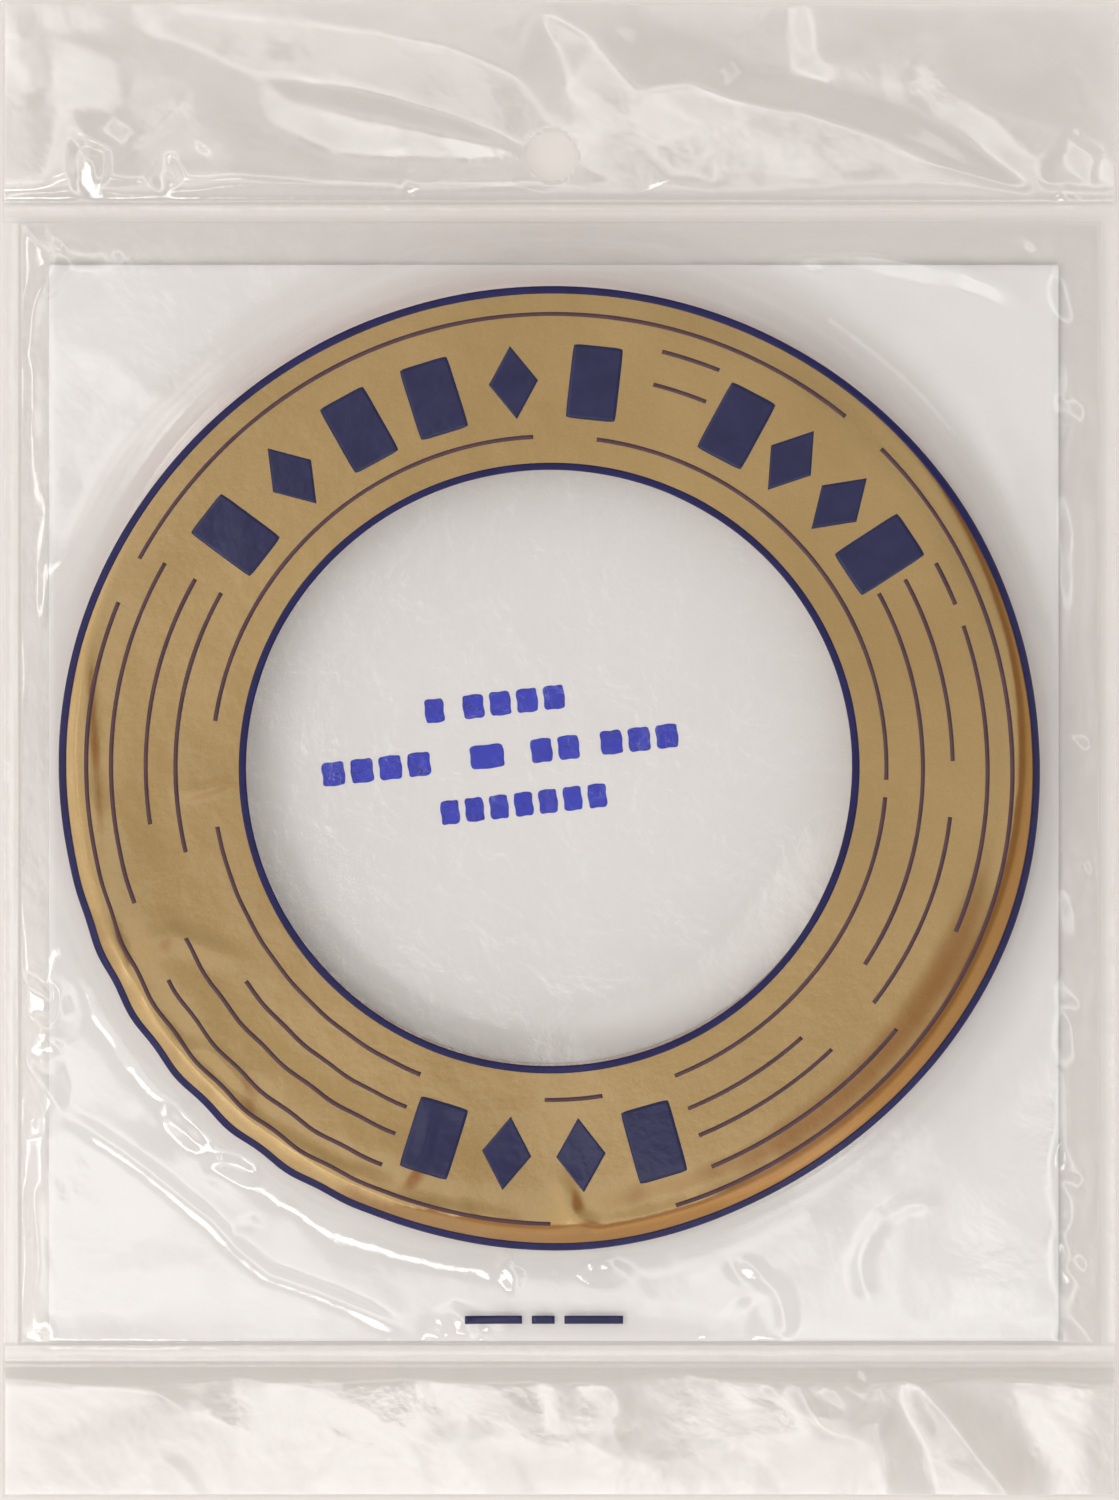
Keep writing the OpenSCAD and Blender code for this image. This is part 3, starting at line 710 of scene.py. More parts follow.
def gold_material():
    """Bronze printing ink: gold face on, with fine flake and soft patches. On slopes there is painted highlight in pale
    gold where they face left, and painted shade in deeper orange and dark brown where they face right and lower right.
    """
    m, nt, out = new_mat("gold_ink")
    v = coords(nt)
    p = principled(nt, out, Metallic=0.62)
    p.inputs["Coat Weight"].default_value = 0.45
    p.inputs["Coat Roughness"].default_value = 0.10
    geo = nt.nodes.new("ShaderNodeNewGeometry")
    sep = nt.nodes.new("ShaderNodeSeparateXYZ")
    nt.links.new(geo.outputs["Normal"], sep.inputs[0])
    up = mathn(nt, "ABSOLUTE", sep.outputs["Z"])
    # tilt_ is how far the film turns from face on; on turned slopes the colour swaps to the painted light and shade
    # below
    tilt_ = mathn(nt, "SUBTRACT", 1.0, up)
    tilt_ = mathn(nt, "MULTIPLY", tilt_, 9.0, True)
    patch = noise(nt, v, 26, 3, 0.5)
    face = ramp(nt, patch, [(0.32, (0.305, 0.194, 0.068)), (0.5, (0.338, 0.218, 0.079)), (0.68, (0.372, 0.243, 0.094))])
    # painted shade: deeper orange for slopes that face right, turned from the light
    painted_slope_tone = ramp(nt, patch, [(0.3, (0.50, 0.250, 0.048)), (0.7, (0.60, 0.325, 0.080))])
    # painted highlight: pale gold for slopes that face left, towards the light
    painted_highlight_gold = ramp(nt, noise(nt, v, 120, 3, 0.5), [(0.3, (0.42, 0.265, 0.100)), (0.7, (0.60, 0.410, 0.190))])
    # painted light side: 0 on slopes facing left (painted highlight), 1 on slopes facing right (painted shade)
    painted_light_side = nt.nodes.new("ShaderNodeMapRange")
    painted_light_side.interpolation_type = "SMOOTHSTEP"
    for k_, v_ in (("From Min", -0.12), ("From Max", 0.26), ("To Min", 0.0), ("To Max", 1.0)):
        painted_light_side.inputs[k_].default_value = v_
    nt.links.new(mathn(nt, "ADD", sep.outputs["X"], mathn(nt, "MULTIPLY", sep.outputs["Y"], -0.12)), painted_light_side.inputs["Value"])
    painted_light_mix = nt.nodes.new("ShaderNodeMix")
    painted_light_mix.data_type = "RGBA"
    nt.links.new(painted_light_side.outputs["Result"], painted_light_mix.inputs["Factor"])
    nt.links.new(painted_highlight_gold, painted_light_mix.inputs["A"])
    nt.links.new(painted_slope_tone, painted_light_mix.inputs["B"])
    painted_slope_tone = painted_light_mix.outputs["Result"]
    mix = nt.nodes.new("ShaderNodeMix")
    mix.data_type = "RGBA"
    nt.links.new(tilt_, mix.inputs["Factor"])
    nt.links.new(face, mix.inputs["A"])
    nt.links.new(painted_slope_tone, mix.inputs["B"])
    # painted shade: dark brown on slopes that face right and lower right, strongest where the slope is gentle
    turn = mathn(nt, "ADD", mathn(nt, "MULTIPLY", sep.outputs["X"], 0.80), mathn(nt, "MULTIPLY", sep.outputs["Y"], -0.45))
    shade = nt.nodes.new("ShaderNodeMapRange")
    shade.interpolation_type = "SMOOTHSTEP"
    for k_, v_ in (("From Min", 0.025), ("From Max", 0.11), ("To Min", 0.0), ("To Max", 0.92)):
        shade.inputs[k_].default_value = v_
    nt.links.new(turn, shade.inputs["Value"])
    steep = nt.nodes.new("ShaderNodeMapRange")
    steep.interpolation_type = "SMOOTHSTEP"
    for k_, v_ in (("From Min", 0.03), ("From Max", 0.14), ("To Min", 1.0), ("To Max", 0.62)):
        steep.inputs[k_].default_value = v_
    nt.links.new(mathn(nt, "SUBTRACT", 1.0, up), steep.inputs["Value"])
    painted_shade_mix = nt.nodes.new("ShaderNodeMix")
    painted_shade_mix.data_type = "RGBA"
    nt.links.new(mathn(nt, "MULTIPLY", shade.outputs["Result"], steep.outputs["Result"]), painted_shade_mix.inputs["Factor"])
    nt.links.new(mix.outputs["Result"], painted_shade_mix.inputs["A"])
    painted_shade_mix.inputs["B"].default_value = (0.22, 0.082, 0.008, 1)
    mix = painted_shade_mix
    fl = noise(nt, v, 3200, 2, 0.5)
    fl = mathn(nt, "MULTIPLY", fl, 0.22)
    fl = mathn(nt, "ADD", fl, 0.89)
    sc = nt.nodes.new("ShaderNodeVectorMath")
    sc.operation = "SCALE"
    nt.links.new(mix.outputs["Result"], sc.inputs[0])
    nt.links.new(fl, sc.inputs["Scale"])
    nt.links.new(sc.outputs["Vector"], p.inputs["Base Color"])
    r = mathn(nt, "MULTIPLY", noise(nt, v, 60, 3, 0.5), 0.14)
    r = mathn(nt, "ADD", r, 0.36)
    nt.links.new(r, p.inputs["Roughness"])
    nb = bump(nt, noise(nt, v, 1500, 3, 0.6), 0.10, 0.0002)
    nb = bump(nt, noise(nt, v, 140, 3, 0.5), 0.14, 0.0010, nb)
    nt.links.new(nb, p.inputs["Normal"])
    nt.links.new(nb, p.inputs["Coat Normal"])
    return m


film = film_material("clear_film", 0.009, (0.998, 0.996, 0.992), 0.05, 0.036)
# the back sheets carry far more white haze than the front sheet: partly the film's own milkiness, partly painted light
# that brightens the margins, header and skirt
film_back = film_material("clear_back_film", 0.060, (0.997, 0.996, 0.993), 0.08, 0.035)
pocket_film_back = film_material("clear_pocket_back_film", 0.07, (0.998, 0.996, 0.992), 0.10, 0.055)
skirt_film_back = film_material("clear_skirt_back_film", 0.06, (0.998, 0.996, 0.992), 0.08, 0.045)
weld = film_material("welded_film", 0.060, (0.995, 0.993, 0.989), 0.09, 0.04)

gold = gold_material()
navy = ink_material("navy_ink", (0.010, 0.010, 0.052), (0.017, 0.017, 0.072), 300)
navy_line = ink_material("outline_ink", (0.006, 0.004, 0.050), (0.011, 0.009, 0.080), 300, 0.5, 0.12)
brown = ink_material("brown_ink", (0.055, 0.022, 0.032), (0.085, 0.036, 0.045), 300)


def stamp_material():
    """Blue rubber-stamp ink: uneven cover with small gaps."""
    m, nt, out = new_mat("stamp_ink")
    v = coords(nt)
    p = principled(nt, out, Roughness=0.4)
    p.inputs["Specular IOR Level"].default_value = 0.10
    p.inputs["Coat Weight"].default_value = 0.08
    p.inputs["Coat Roughness"].default_value = 0.15
    n = noise(nt, v, 420, 4, 0.65)
    col = ramp(nt, n, [(0.25, (0.003, 0.008, 0.34)), (0.7, (0.008, 0.020, 0.50))])
    nt.links.new(col, p.inputs["Base Color"])
    a = noise(nt, v, 650, 5, 0.7)
    a = ramp(nt, a, [(0.30, (0.45, 0.45, 0.45)), (0.42, (1, 1, 1))])
    nt.links.new(a, p.inputs["Alpha"])
    return m


stamp = stamp_material()


def card_material():
    m, nt, out = new_mat("white_card")
    v = coords(nt)
    p = principled(nt, out, Roughness=0.62)
    n = noise(nt, v, 38, 4, 0.6)
    col = ramp(nt, n, [(0.3, (0.735, 0.705, 0.690)), (0.7, (0.762, 0.735, 0.720))])
    nt.links.new(col, p.inputs["Base Color"])
    nb = bump(nt, noise(nt, v, 1800, 4, 0.7), 0.25, 0.00015)
    nt.links.new(nb, p.inputs["Normal"])
    return m


def metal_material(name, base_a, base_b, rough, axis_scale):
    m, nt, out = new_mat(name)
    tc = nt.nodes.new("ShaderNodeTexCoord")
    mp = nt.nodes.new("ShaderNodeMapping")
    mp.inputs["Scale"].default_value = axis_scale
    nt.links.new(tc.outputs["Object"], mp.inputs["Vector"])
    p = principled(nt, out, Metallic=1.0)
    n = noise(nt, mp.outputs["Vector"], 1.0, 4, 0.6)
    nt.links.new(ramp(nt, n, [(0.3, base_a), (0.7, base_b)]), p.inputs["Base Color"])
    r = mathn(nt, "MULTIPLY_ADD", n, 0.16)
    r.node.inputs[2].default_value = rough - 0.08
    nt.links.new(r, p.inputs["Roughness"])
    nt.links.new(bump(nt, n, 0.15, 0.0001), p.inputs["Normal"])
    return m


def paper_material(name, a, b, scale, rough=0.7):
    m, nt, out = new_mat(name)
    v = coords(nt)
    p = principled(nt, out, Roughness=rough)
    n = noise(nt, v, scale, 5, 0.65)
    nt.links.new(ramp(nt, n, [(0.3, a), (0.7, b)]), p.inputs["Base Color"])
    nt.links.new(bump(nt, noise(nt, v, scale * 5, 3, 0.6), 0.3, 0.0002), p.inputs["Normal"])
    return m


card_mat = card_material()
copper = metal_material("copper_foil", (0.72, 0.34, 0.19), (0.88, 0.48, 0.30), 0.26, (300, 300, 2500))
liner = paper_material("liner_paper", (0.72, 0.69, 0.62), (0.80, 0.77, 0.71), 500)
core_mat = paper_material("core_board", (0.36, 0.27, 0.19), (0.46, 0.36, 0.26), 260)

# ------------------------------------------------------------------ pouch
film_front = film_piece("pocket_front_film", HF, POCK_X, -POCK_X, POCK_Y0, POCK_Y1, film)
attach(film_front, "pouch"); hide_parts("front_film")
film_rear = film_piece("pocket_back_film", HB, POCK_X, -POCK_X, POCK_Y0, POCK_Y1, pocket_film_back)
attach(film_rear, "pouch"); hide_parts("back_film")


def weld_piece(name, node, x0, x1, y0, y1, along):
    """Strip where both films are melted together, with a fine bead along each edge of the sealing bar."""
    n_long, n_wide = 400, 13
    if along == "x":
        X, Y = np.meshgrid(np.linspace(x0, x1, n_long), np.linspace(y0, y1, n_wide))
        u, w = X, (Y - y0) / (y1 - y0)
    else:
        X, Y = np.meshgrid(np.linspace(x0, x1, n_wide), np.linspace(y0, y1, n_long))
        u, w = Y, (X - x0) / (x1 - x0)
    q = np.random.RandomState(len(name))
    wavy = sum(np.sin(u * f + q.uniform(0, 6.28)) for f in (0.11, 0.23, 0.41, 0.9)) / 4
    bead = 0.020 * np.exp(-((w - 0.15 - 0.05 * wavy) / 0.13) ** 2) + 0.020 * np.exp(-((w - 0.85 + 0.05 * wavy) / 0.13) ** 2)
    Z = sample(HF, X, Y) + bead - 0.02 * np.sin(np.pi * w) + 0.02 * wavy
    Z0 = np.maximum(sample(HB, X, Y) - FILM_T, 0.0)
    ob = shell(X, Y, np.maximum(Z, Z0 + 0.16), Z0, name, weld)
    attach(ob, "pouch"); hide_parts(node)
    return ob


top_weld = weld_piece("top_seal_strip", "top_seal", -HALF_W, HALF_W, tseal_lo[1], tseal_hi[1], "x")
bot_weld = weld_piece("bottom_seal_strip", "bottom_seal", -HALF_W, HALF_W, bseal_lo[1], bseal_hi[1], "x")
left_weld = weld_piece("left_weld_strip", "left_side_weld", -HALF_W, POCK_X, POCK_Y0, POCK_Y1, "y")
right_weld = weld_piece("right_weld_strip", "right_side_weld", -POCK_X, HALF_W, POCK_Y0, POCK_Y1, "y")

for name, F, mat, node, cut in [("header_front_sheet", HF, film, "header_front_film", 0.7), ("header_back_sheet", HB, film_back, "header_back_film", 0.0)]:
    ob = film_piece(name, F, -HALF_W, HALF_W, tseal_hi[1], HALF_L, mat, hole=True, short=cut)
    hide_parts(node)
    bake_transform(ob)
for name, F, mat, node in [("skirt_front_sheet", HF, film, "skirt_front_film"), ("skirt_back_sheet", HB, skirt_film_back, "skirt_back_film")]:
    ob = film_piece(name, F, -HALF_W, HALF_W, -HALF_L, bseal_lo[1], mat)
    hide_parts(node)
    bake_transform(ob)

# ------------------------------------------------------------------ card
def card_piece():
    nx, ny = 60, 64
    e = 0.12
    xs = np.concatenate([[card_lo[0], card_lo[0] + e], np.linspace(card_lo[0] + 1, card_hi[0] - 1, nx), [card_hi[0] - e, card_hi[0]]])
    ys = np.concatenate([[card_lo[1], card_lo[1] + e], np.linspace(card_lo[1] + 1, card_hi[1] - 1, ny), [card_hi[1] - e, card_hi[1]]])
    X, Y = np.meshgrid(xs, ys)
    edge = np.minimum(np.minimum(X - card_lo[0], card_hi[0] - X), np.minimum(Y - card_lo[1], card_hi[1] - Y))
    soft = e * (1 - smooth(edge, 0, e)) * 0.6
    dip = 0.02 * (1 - np.cos(X * 0.06)) * (1 - np.cos(Y * 0.05 + 1)) * 0.5
    ob = shell(X, Y, np.full_like(X, card_hi[2]) - soft - dip, np.full_like(X, card_lo[2]) + soft, "backing_card_sheet", card_mat)
    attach(ob, "card"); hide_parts("backing_card")
    return ob


card_piece()


# ------------------------------------------------------------------ roll
def ribbon(name, r0, r1, turns, thick, off, z0, z1, start, mat, seg=110, wob=0.0, seed=5):
    """One long strip wound in a spiral from radius r0 to r1, as a closed band thick wide, that starts at angle start."""
    r = np.random.RandomState(seed)
    n = int(seg * turns) + 1
    t = np.linspace(0, turns, n)
    a = start + t * 2 * math.pi
    rad = r0 + (r1 - r0) * t / turns + off
    k = int(turns) + 3
    lift = np.interp(t, np.arange(k), r.uniform(0, wob, k))
    zt = z1 - lift * 0.5
    zb = z0 + lift * 0.5
    ring = []
    for rr_, zz in ((rad, zb), (rad + thick, zb), (rad + thick, zt), (rad, zt)):
        ring.append(np.stack([RX + rr_ * np.cos(a), RY + rr_ * np.sin(a), zz], -1))
    V = np.stack(ring, 1).reshape(-1, 3)
    i = np.arange(n - 1) * 4
    faces = []
    for s in range(4):
        s2 = (s + 1) % 4
        faces += np.stack([i + s, i + s2, i + 4 + s2, i + 4 + s], -1).tolist()
    faces.append([0, 3, 2, 1])
    e = (n - 1) * 4
    faces.append([e, e + 1, e + 2, e + 3])
    faces = [f[::-1] for f in faces]
    ob = make(name, V, faces, mat, shade=False)
    return ob


PITCH = 0.15
TURNS = (WIND_R - CORE_RO - 0.01) / PITCH
TURNS = math.floor(TURNS)
pitch = (WIND_R - CORE_RO - 0.01) / (TURNS + 1)
END = math.radians(-38)
fo = ribbon("wound_foil", CORE_RO + 0.005, CORE_RO + 0.005 + pitch * TURNS, TURNS, 0.05, 0.090, ROLL_Z0, ROLL_Z1, END, copper, wob=0.10, seed=5)
li = ribbon("wound_liner", CORE_RO + 0.005, CORE_RO + 0.005 + pitch * TURNS, TURNS, 0.085, 0.0, ROLL_Z0 + 0.02, ROLL_Z1 - 0.02, END, liner, wob=0.10, seed=5)
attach(fo, "roll"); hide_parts("tape_winding")
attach(li, "roll"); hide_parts("tape_winding")


def band(name, node, ri, ro, z0, z1, a0, a1, mat, body, seg=240, bulge=0.0):
    """Curved strip from angle a0 to a1 with softly rounded long edges."""
    prof = [(ri, z0 + 0.01), (ro - 0.01, z0), (ro, z0 + 0.04), (ro, (z0 + z1) / 2 - 0.8), (ro, (z0 + z1) / 2 + 0.8), (ro, z1 - 0.04), (ro - 0.01, z1), (ri, z1 - 0.01)]
    t = np.linspace(a0, a1, seg)
    V = []
    for rr_, zz in prof:
        V.append(np.stack([RX + (rr_ + 0 * t) * np.cos(t), RY + (rr_ + 0 * t) * np.sin(t), zz + 0 * t], -1))
    m = len(prof)
    V = np.stack(V, 1).reshape(-1, 3)
    faces = []
    for i in range(seg - 1):
        for s in range(m):
            s2 = (s + 1) % m
            faces.append([i * m + s2, i * m + s, (i + 1) * m + s, (i + 1) * m + s2])
    faces.append(list(range(m)))
    faces.append(list(range((seg - 1) * m + m - 1, (seg - 1) * m - 1, -1)))
    ob = make(name, V, faces, mat, shade=False)
    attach(ob, body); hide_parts(node)
    return ob


SPAN = 13.5 / 56.45
SL = math.radians(0.12)
band("last_turn_liner", "outer_turn_liner", WIND_R, WIND_R + 0.09, ROLL_Z0, ROLL_Z1, END + SL, END + 2 * math.pi - SPAN - SL, liner, "roll")
band("last_turn_foil", "outer_turn_foil", WIND_R + 0.09, WIND_R + 0.15, ROLL_Z0, ROLL_Z1, END + SL, END + 2 * math.pi - SPAN - SL, copper, "roll")
band("loose_end_liner", "tape_end_liner", WIND_R + 0.10, WIND_R + 0.19, ROLL_Z0, ROLL_Z1, END - SPAN + SL, END - SL, liner, "tape_end", 40)
band("loose_end_foil", "tape_end_foil", WIND_R + 0.19, WIND_R + 0.25, ROLL_Z0, ROLL_Z1, END - SPAN + SL, END - SL, copper, "tape_end", 40)


def core_piece():
    """Paperboard ring with softened edges and a faint ripple round its bore."""
    z0, z1 = core_lo[2], core_hi[2]
    prof = [(CORE_R, z0 + 0.25), (CORE_R + 0.08, z0 + 0.08), (CORE_R + 0.25, z0), (CORE_R + 1.2, z0), (CORE_RO - 0.15, z0), (CORE_RO, z0 + 0.15),
            (CORE_RO, z1 - 0.15), (CORE_RO - 0.15, z1), (CORE_R + 1.2, z1), (CORE_R + 0.25, z1), (CORE_R + 0.08, z1 - 0.08), (CORE_R, z1 - 0.25), (CORE_R, (z0 + z1) / 2)]
    seg = 220
    m = len(prof)
    V = []
    for i in range(seg):
        a = 2 * math.pi * i / seg
        for r_, z_ in prof:
            rr_ = r_ + 0.03 * math.sin(3 * a + z_) * (1 if r_ < CORE_R + 0.3 else 0)
            V.append((RX + max(rr_, CORE_R) * math.cos(a), RY + max(rr_, CORE_R) * math.sin(a), z_))
    faces = []
    for i in range(seg):
        j = (i + 1) % seg
        for s in range(m):
            s2 = (s + 1) % m
            faces.append([i * m + s, i * m + s2, j * m + s2, j * m + s])
    ob = make("paperboard_core", V, faces, core_mat)
    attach(ob, "roll"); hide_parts("core_ring")


core_piece()

# ------------------------------------------------------------------ print
GOLD_LIFT, GOLD_T, NAVY_LIFT, NAVY_T = 0.05, 0.03, 0.11, 0.03

# radius of the outlines as the slack film carries them: angle clockwise from the top in degrees, millimetres
OUT_A = [0, 30, 60, 90, 105, 120, 140, 157, 168, 178, 190, 200, 212, 222, 232, 240, 248, 258, 270, 290, 300, 330, 360]
OUT_R = [58.2, 58.7, 59.3, 59.2, 59.7, 59.1, 58.2, 58.0, 58.6, 58.8, 58.2, 58.1, 58.7, 58.3, 59.3, 58.9, 59.5, 59.3, 59.7, 59.6, 59.0, 58.4, 58.2]
IN_A = [0, 60, 90, 120, 160, 180, 200, 240, 270, 300, 330, 360]
IN_R = [36.7, 37.15, 37.25, 37.0, 36.8, 36.65, 36.9, 37.4, 37.6, 37.4, 36.9, 36.7]


def rounded_table(angles, radii, spread):
    """The radii at every degree, softened so that the outline has no kinks."""
    deg = np.arange(360)
    r_ = np.interp(deg, angles, radii)
    k = np.exp(-0.5 * (np.minimum(deg, 360 - deg) / spread) ** 2)
    soft = np.real(np.fft.ifft(np.fft.fft(r_) * np.fft.fft(k / k.sum())))
    return np.arange(361), np.append(soft, soft[0])


OUT_A, OUT_R = rounded_table(OUT_A, OUT_R, 9.0)
IN_A, IN_R = rounded_table(IN_A, IN_R, 12.0)


def warp(x, y):
    """Where the film carries a printed point, given its place in the flat print."""
    x, y = np.asarray(x, float), np.asarray(y, float)
    r = np.hypot(x, y)
    a = np.degrees(np.arctan2(x, y)) % 360
    ro = np.interp(a, OUT_A, OUT_R)
    ro = ro + 0.16 * np.sin(np.radians(a) * 41) * smooth(a, 198, 214) * (1 - smooth(a, 244, 262))
    ri = np.interp(a, IN_A, IN_R)
    k = (ri + (ro - ri) * (r - 37.5) / (59.4 - 37.5)) / np.maximum(r, 1e-6)
    k = np.where(r > 20, k, 1.0)
    return PX0 + x * k, PY0 + y * k


def polar(r0, r1, a0, a1, nr, na, wrap=False, amp=0.0, seed=3):
    """Points of a ring piece round the print's centre, angles clockwise from the top in degrees."""
    a = np.radians(np.linspace(a0, a1, na, endpoint=not wrap))
    r = np.linspace(r1, r0, nr)
    A, R = np.meshgrid(a, r)
    if amp:
        q = np.random.RandomState(seed)
        w = sum(np.sin(A * (5 + 4 * i) + q.uniform(0, 6.28)) / (1 + 0.5 * i) for i in range(7))
        R = R + amp * w * np.sign(R - (r0 + r1) / 2) * (np.abs(R - (r0 + r1) / 2) > 1e-6)
    return warp(R * np.sin(A), R * np.cos(A))


def printed(ob, node, body="pouch"):
    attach(ob, body)
    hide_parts(node)
    return ob


X, Y = polar(37.25, 59.65, 0, 360, 54, 760, wrap=True)
printed(drape("gold_ring_ink", X, Y, GOLD_LIFT, GOLD_T, gold, wrap=True), "gold_ring_print")
X, Y = polar(58.93, 59.87, 0, 360, 5, 900, wrap=True, amp=0.010, seed=3)
printed(drape("outer_outline_ink", X, Y, NAVY_LIFT, NAVY_T, navy_line, wrap=True), "outer_outline_print")
X, Y = polar(37.05, 37.95, 0, 360, 5, 700, wrap=True, amp=0.010, seed=4)
printed(drape("inner_outline_ink", X, Y, NAVY_LIFT, NAVY_T, navy_line, wrap=True), "inner_outline_print")

LINE_R = [41.2, 45.6, 49.2, 53.4, 56.4]
DASHES = [
    (4, -63, 40), (4, 46, 164), (4, 180, 291),
    (3, 15, 23), (3, 62, 68), (3, 71, 112), (3, 127, 158), (3, 203, 241), (3, 252, 298),
    (2, 15, 23), (2, 62, 89), (2, 97, 126), (2, 135, 158), (2, 203, 245), (2, 262, 298),
    (1, 62, 122), (1, 137, 158), (1, 203, 235), (1, 257, 298),
    (0, 8, 92), (0, 95, 158), (0, 171, 181), (0, 203, 260), (0, 278, 357)]
parts = []
for i, (k, a0, a1) in enumerate(DASHES):
    n = max(8, int((a1 - a0) * LINE_R[k] * math.pi / 180 / 0.4))
    X, Y = polar(LINE_R[k] - 0.25, LINE_R[k] + 0.25, a0, a1, 3, n, amp=0.008, seed=20 + i)
    parts.append(drape("dash%d" % i, X, Y, NAVY_LIFT, NAVY_T, brown))
printed(joined("dashed_line_ink", parts), "dashed_line_print")

MARK_R, MARK_H, MARK_W = 48.1, 9.2, 6.2


def rounded(U, V, k=0.07, p=7):
    f = 1 - k * np.abs(U) ** p * np.abs(V) ** p
    return U * f, V * f


def mark(kind, ang):
    u = np.linspace(-1, 1, 17)
    v = np.linspace(1, -1, 23)
    U, V = np.meshgrid(u, v)
    if kind == "bar":
        U, V = rounded(U, V, 0.03)
        lx, ly = U * MARK_W / 2, V * MARK_H / 2
    else:
        lx, ly = (U + V) / 2 * MARK_W / 2 * 0.99, (V - U) / 2 * MARK_H / 2 * 0.99
    a = math.radians(ang)
    ly = ly + MARK_R
    X, Y = warp(lx * math.cos(a) + ly * math.sin(a), -lx * math.sin(a) + ly * math.cos(a))
    return drape("mark", X, Y, NAVY_LIFT, NAVY_T, navy)


ups = [mark("bar", a) for a in (-53.5, -29.5, -17.5, 6.5, 28.5, 57)] + [mark("diamond", a) for a in (-41.5, -5.5, 38, 47.5)]
printed(joined("upper_mark_ink", ups), "upper_mark_print")
lows = [mark("bar", a) for a in (164.5, 197.5)] + [mark("diamond", a) for a in (175.5, 186.5)]
printed(joined("lower_mark_ink", lows), "lower_mark_print")

# rows of plain blocks stamped on the card, with the uneven edges of a rubber stamp
tilt = math.radians(6.5)
blocks = []
q = np.random.RandomState(77)
for x, y, l, n in [(-7.6, 6.3, 2.4, 1), (2.2, 6.3, 12.6, 4), (-15.5, 0, 13.4, 4), (-1.8, 0, 4.2, 1), (6.6, 0, 6, 2), (17, 0, 9.6, 3), (2, -6.3, 20.5, 7)]:
    w_ = (l - (n - 1) * 0.7) / n
    for i in range(n):
        x0 = x - l / 2 + i * (w_ + 0.7) + w_ / 2
        U, V = np.meshgrid(np.linspace(-1, 1, 15), np.linspace(1, -1, 17))
        U, V = rounded(U, V, 0.10, 6)
        rim = np.maximum(np.abs(U), np.abs(V)) ** 4
        lx = x0 + U * (w_ / 2 - 0.03) + 0.05 * rim * np.sin(V * 5 + q.uniform(0, 6))
        ly = y + V * 1.46 + 0.04 * rim * np.sin(U * 5 + q.uniform(0, 6))
        X = -7.1 + lx * math.cos(tilt) - ly * math.sin(tilt)
        Y = -0.6 + lx * math.sin(tilt) + ly * math.cos(tilt)
        blocks.append(shell(X, Y, np.full_like(X, CARD_TOP + 0.045), np.full_like(X, CARD_TOP + 0.015), "block", stamp))
printed(joined("stamped_bar_ink", blocks), "stamped_bar_print", "card")

foot = []
for x0, x1 in [(-11.6, -4.6), (-3.4, -0.6), (0.6, 7.8)]:
    U, V = np.meshgrid(np.linspace(x0, x1, max(5, int((x1 - x0) / 0.4))), np.linspace(-69.4, -70.4, 4))
    foot.append(drape("foot", U, V, GOLD_LIFT, GOLD_T, navy))
printed(joined("footer_bar_ink", foot), "footer_bar_print")

# ------------------------------------------------------------------ stage, light, camera
scene = bpy.context.scene
fm, nt, out = new_mat("stage_paper")
p = principled(nt, out, Roughness=0.9)
p.inputs["Base Color"].default_value = (0.785, 0.722, 0.690, 1)
me = bpy.data.meshes.new("stage_floor")
S = 3.0
me.from_pydata([(-S, -S, -0.0004), (S, -S, -0.0004), (S, S, -0.0004), (-S, S, -0.0004)], [], [[0, 1, 2, 3]])
floor = bpy.data.objects.new("stage_floor", me)
me.materials.append(fm)
scene.collection.objects.link(floor)


def area(name, loc, target, sx, sy, power, colour=(1, 1, 1)):
    li_ = bpy.data.lights.new(name, "AREA")
    li_.shape = "RECTANGLE"
    li_.size, li_.size_y = sx, sy
    li_.energy = power
    li_.color = colour
    o = bpy.data.objects.new(name, li_)
    o.location = loc
    o.rotation_euler = (Vector(target) - Vector(loc)).to_track_quat("-Z", "Y").to_euler()
    scene.collection.objects.link(o)
    return o


def panel(name, direction, dist, sx, sy, radiance, colour=(1, 1, 1)):
    """Softbox of the given radiance, that far from the object."""
    v_ = Vector(direction).normalized() * dist
    return area(name, v_, (0, 0, 0), sx, sy, radiance * math.pi * sx * sy, colour)


panel("key", (-0.33, -0.50, 0.79), 1.05, 0.56, 0.10, 7.5, (1.0, 0.99, 0.975))
panel("left", (-0.62, 0.02, 0.78), 1.05, 0.36, 0.08, 5.0, (1.0, 0.995, 0.985))
panel("fill", (-0.52, -0.44, 0.62), 0.50, 0.18, 0.16, 1.2, (1.0, 0.99, 0.98))
panel("far", (0.55, 0.62, 0.60), 1.20, 0.30, 0.20, 1.2, (0.96, 0.98, 1.0))

w = bpy.data.worlds.new("studio")
scene.world = w
w.use_nodes = True
wt = w.node_tree
bg = wt.nodes["Background"]
tc = wt.nodes.new("ShaderNodeTexCoord")
sep = wt.nodes.new("ShaderNodeSeparateXYZ")
wt.links.new(tc.outputs["Generated"], sep.inputs[0])
# brighter towards the left and the near side, dim to the right and straight overhead


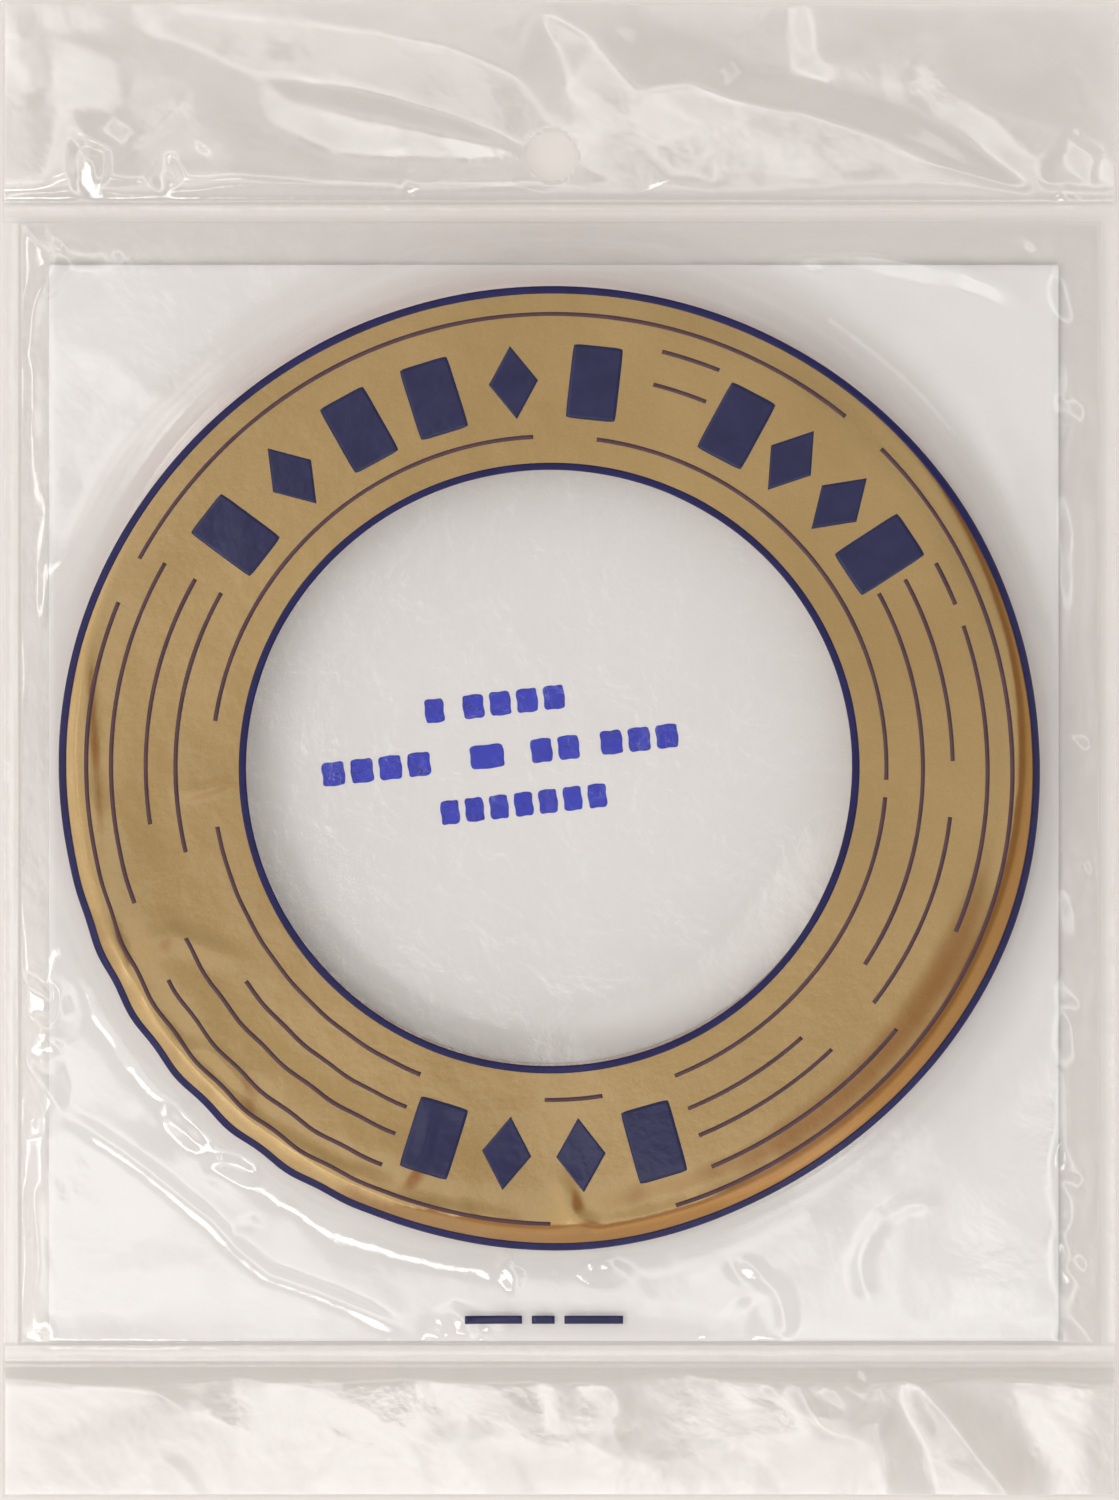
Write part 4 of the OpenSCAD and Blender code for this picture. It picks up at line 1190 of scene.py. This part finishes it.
def span(value, x0, x1, y0, y1):
    n_ = wt.nodes.new("ShaderNodeMapRange")
    n_.interpolation_type = "SMOOTHSTEP"
    for k_, v_ in (("From Min", x0), ("From Max", x1), ("To Min", y0), ("To Max", y1)):
        n_.inputs[k_].default_value = v_
    wt.links.new(value, n_.inputs["Value"])
    return n_.outputs["Result"]


side = mathn(wt, "ADD", mathn(wt, "MULTIPLY", sep.outputs["X"], -0.75), mathn(wt, "MULTIPLY", sep.outputs["Y"], -0.66))
lobe = mathn(wt, "MULTIPLY", span(side, -0.045, 0.120, 0.0, 1.75), span(side, 0.11, 0.36, 1.0, 0.15))
flat_r = mathn(wt, "SQRT", mathn(wt, "ADD", mathn(wt, "MULTIPLY", sep.outputs["X"], sep.outputs["X"]), mathn(wt, "MULTIPLY", sep.outputs["Y"], sep.outputs["Y"])))
dome = mathn(wt, "MULTIPLY", mathn(wt, "ADD", mathn(wt, "ADD", lobe, 0.42), span(flat_r, 0.14, 0.32, 0.42, 0.0)), span(flat_r, 0.025, 0.088, 0.30, 1.0))
low = span(sep.outputs["Z"], 0.30, 0.85, 0.30, 0.0)
nz = wt.nodes.new("ShaderNodeTexNoise")
nz.inputs["Scale"].default_value = 3.2
nz.inputs["Detail"].default_value = 2.0
wt.links.new(tc.outputs["Generated"], nz.inputs["Vector"])
patches = span(nz.outputs["Fac"], 0.36, 0.64, 0.72, 1.28)
tot = mathn(wt, "MULTIPLY", mathn(wt, "ADD", dome, low), patches)
bg.inputs["Color"].default_value = (1, 0.995, 0.985, 1)
wt.links.new(mathn(wt, "MULTIPLY", tot, 1.07), bg.inputs["Strength"])

cam_d = bpy.data.cameras.new("cam")
cam = bpy.data.objects.new("cam", cam_d)
scene.collection.objects.link(cam)
scene.camera = cam
DIST = 0.80
cam.location = (-0.0, 0.0, DIST)
cam.rotation_euler = (0, 0, 0)
cam_d.sensor_fit = "VERTICAL"
cam_d.sensor_height = 24
view_h = 1500 * PX * MM
cam_d.lens = 24 * DIST / view_h
cam_d.dof.use_dof = False
cam_d.clip_start = 0.01

scene.view_settings.view_transform = "Standard"
scene.view_settings.look = "None"
scene.view_settings.exposure = 0.0
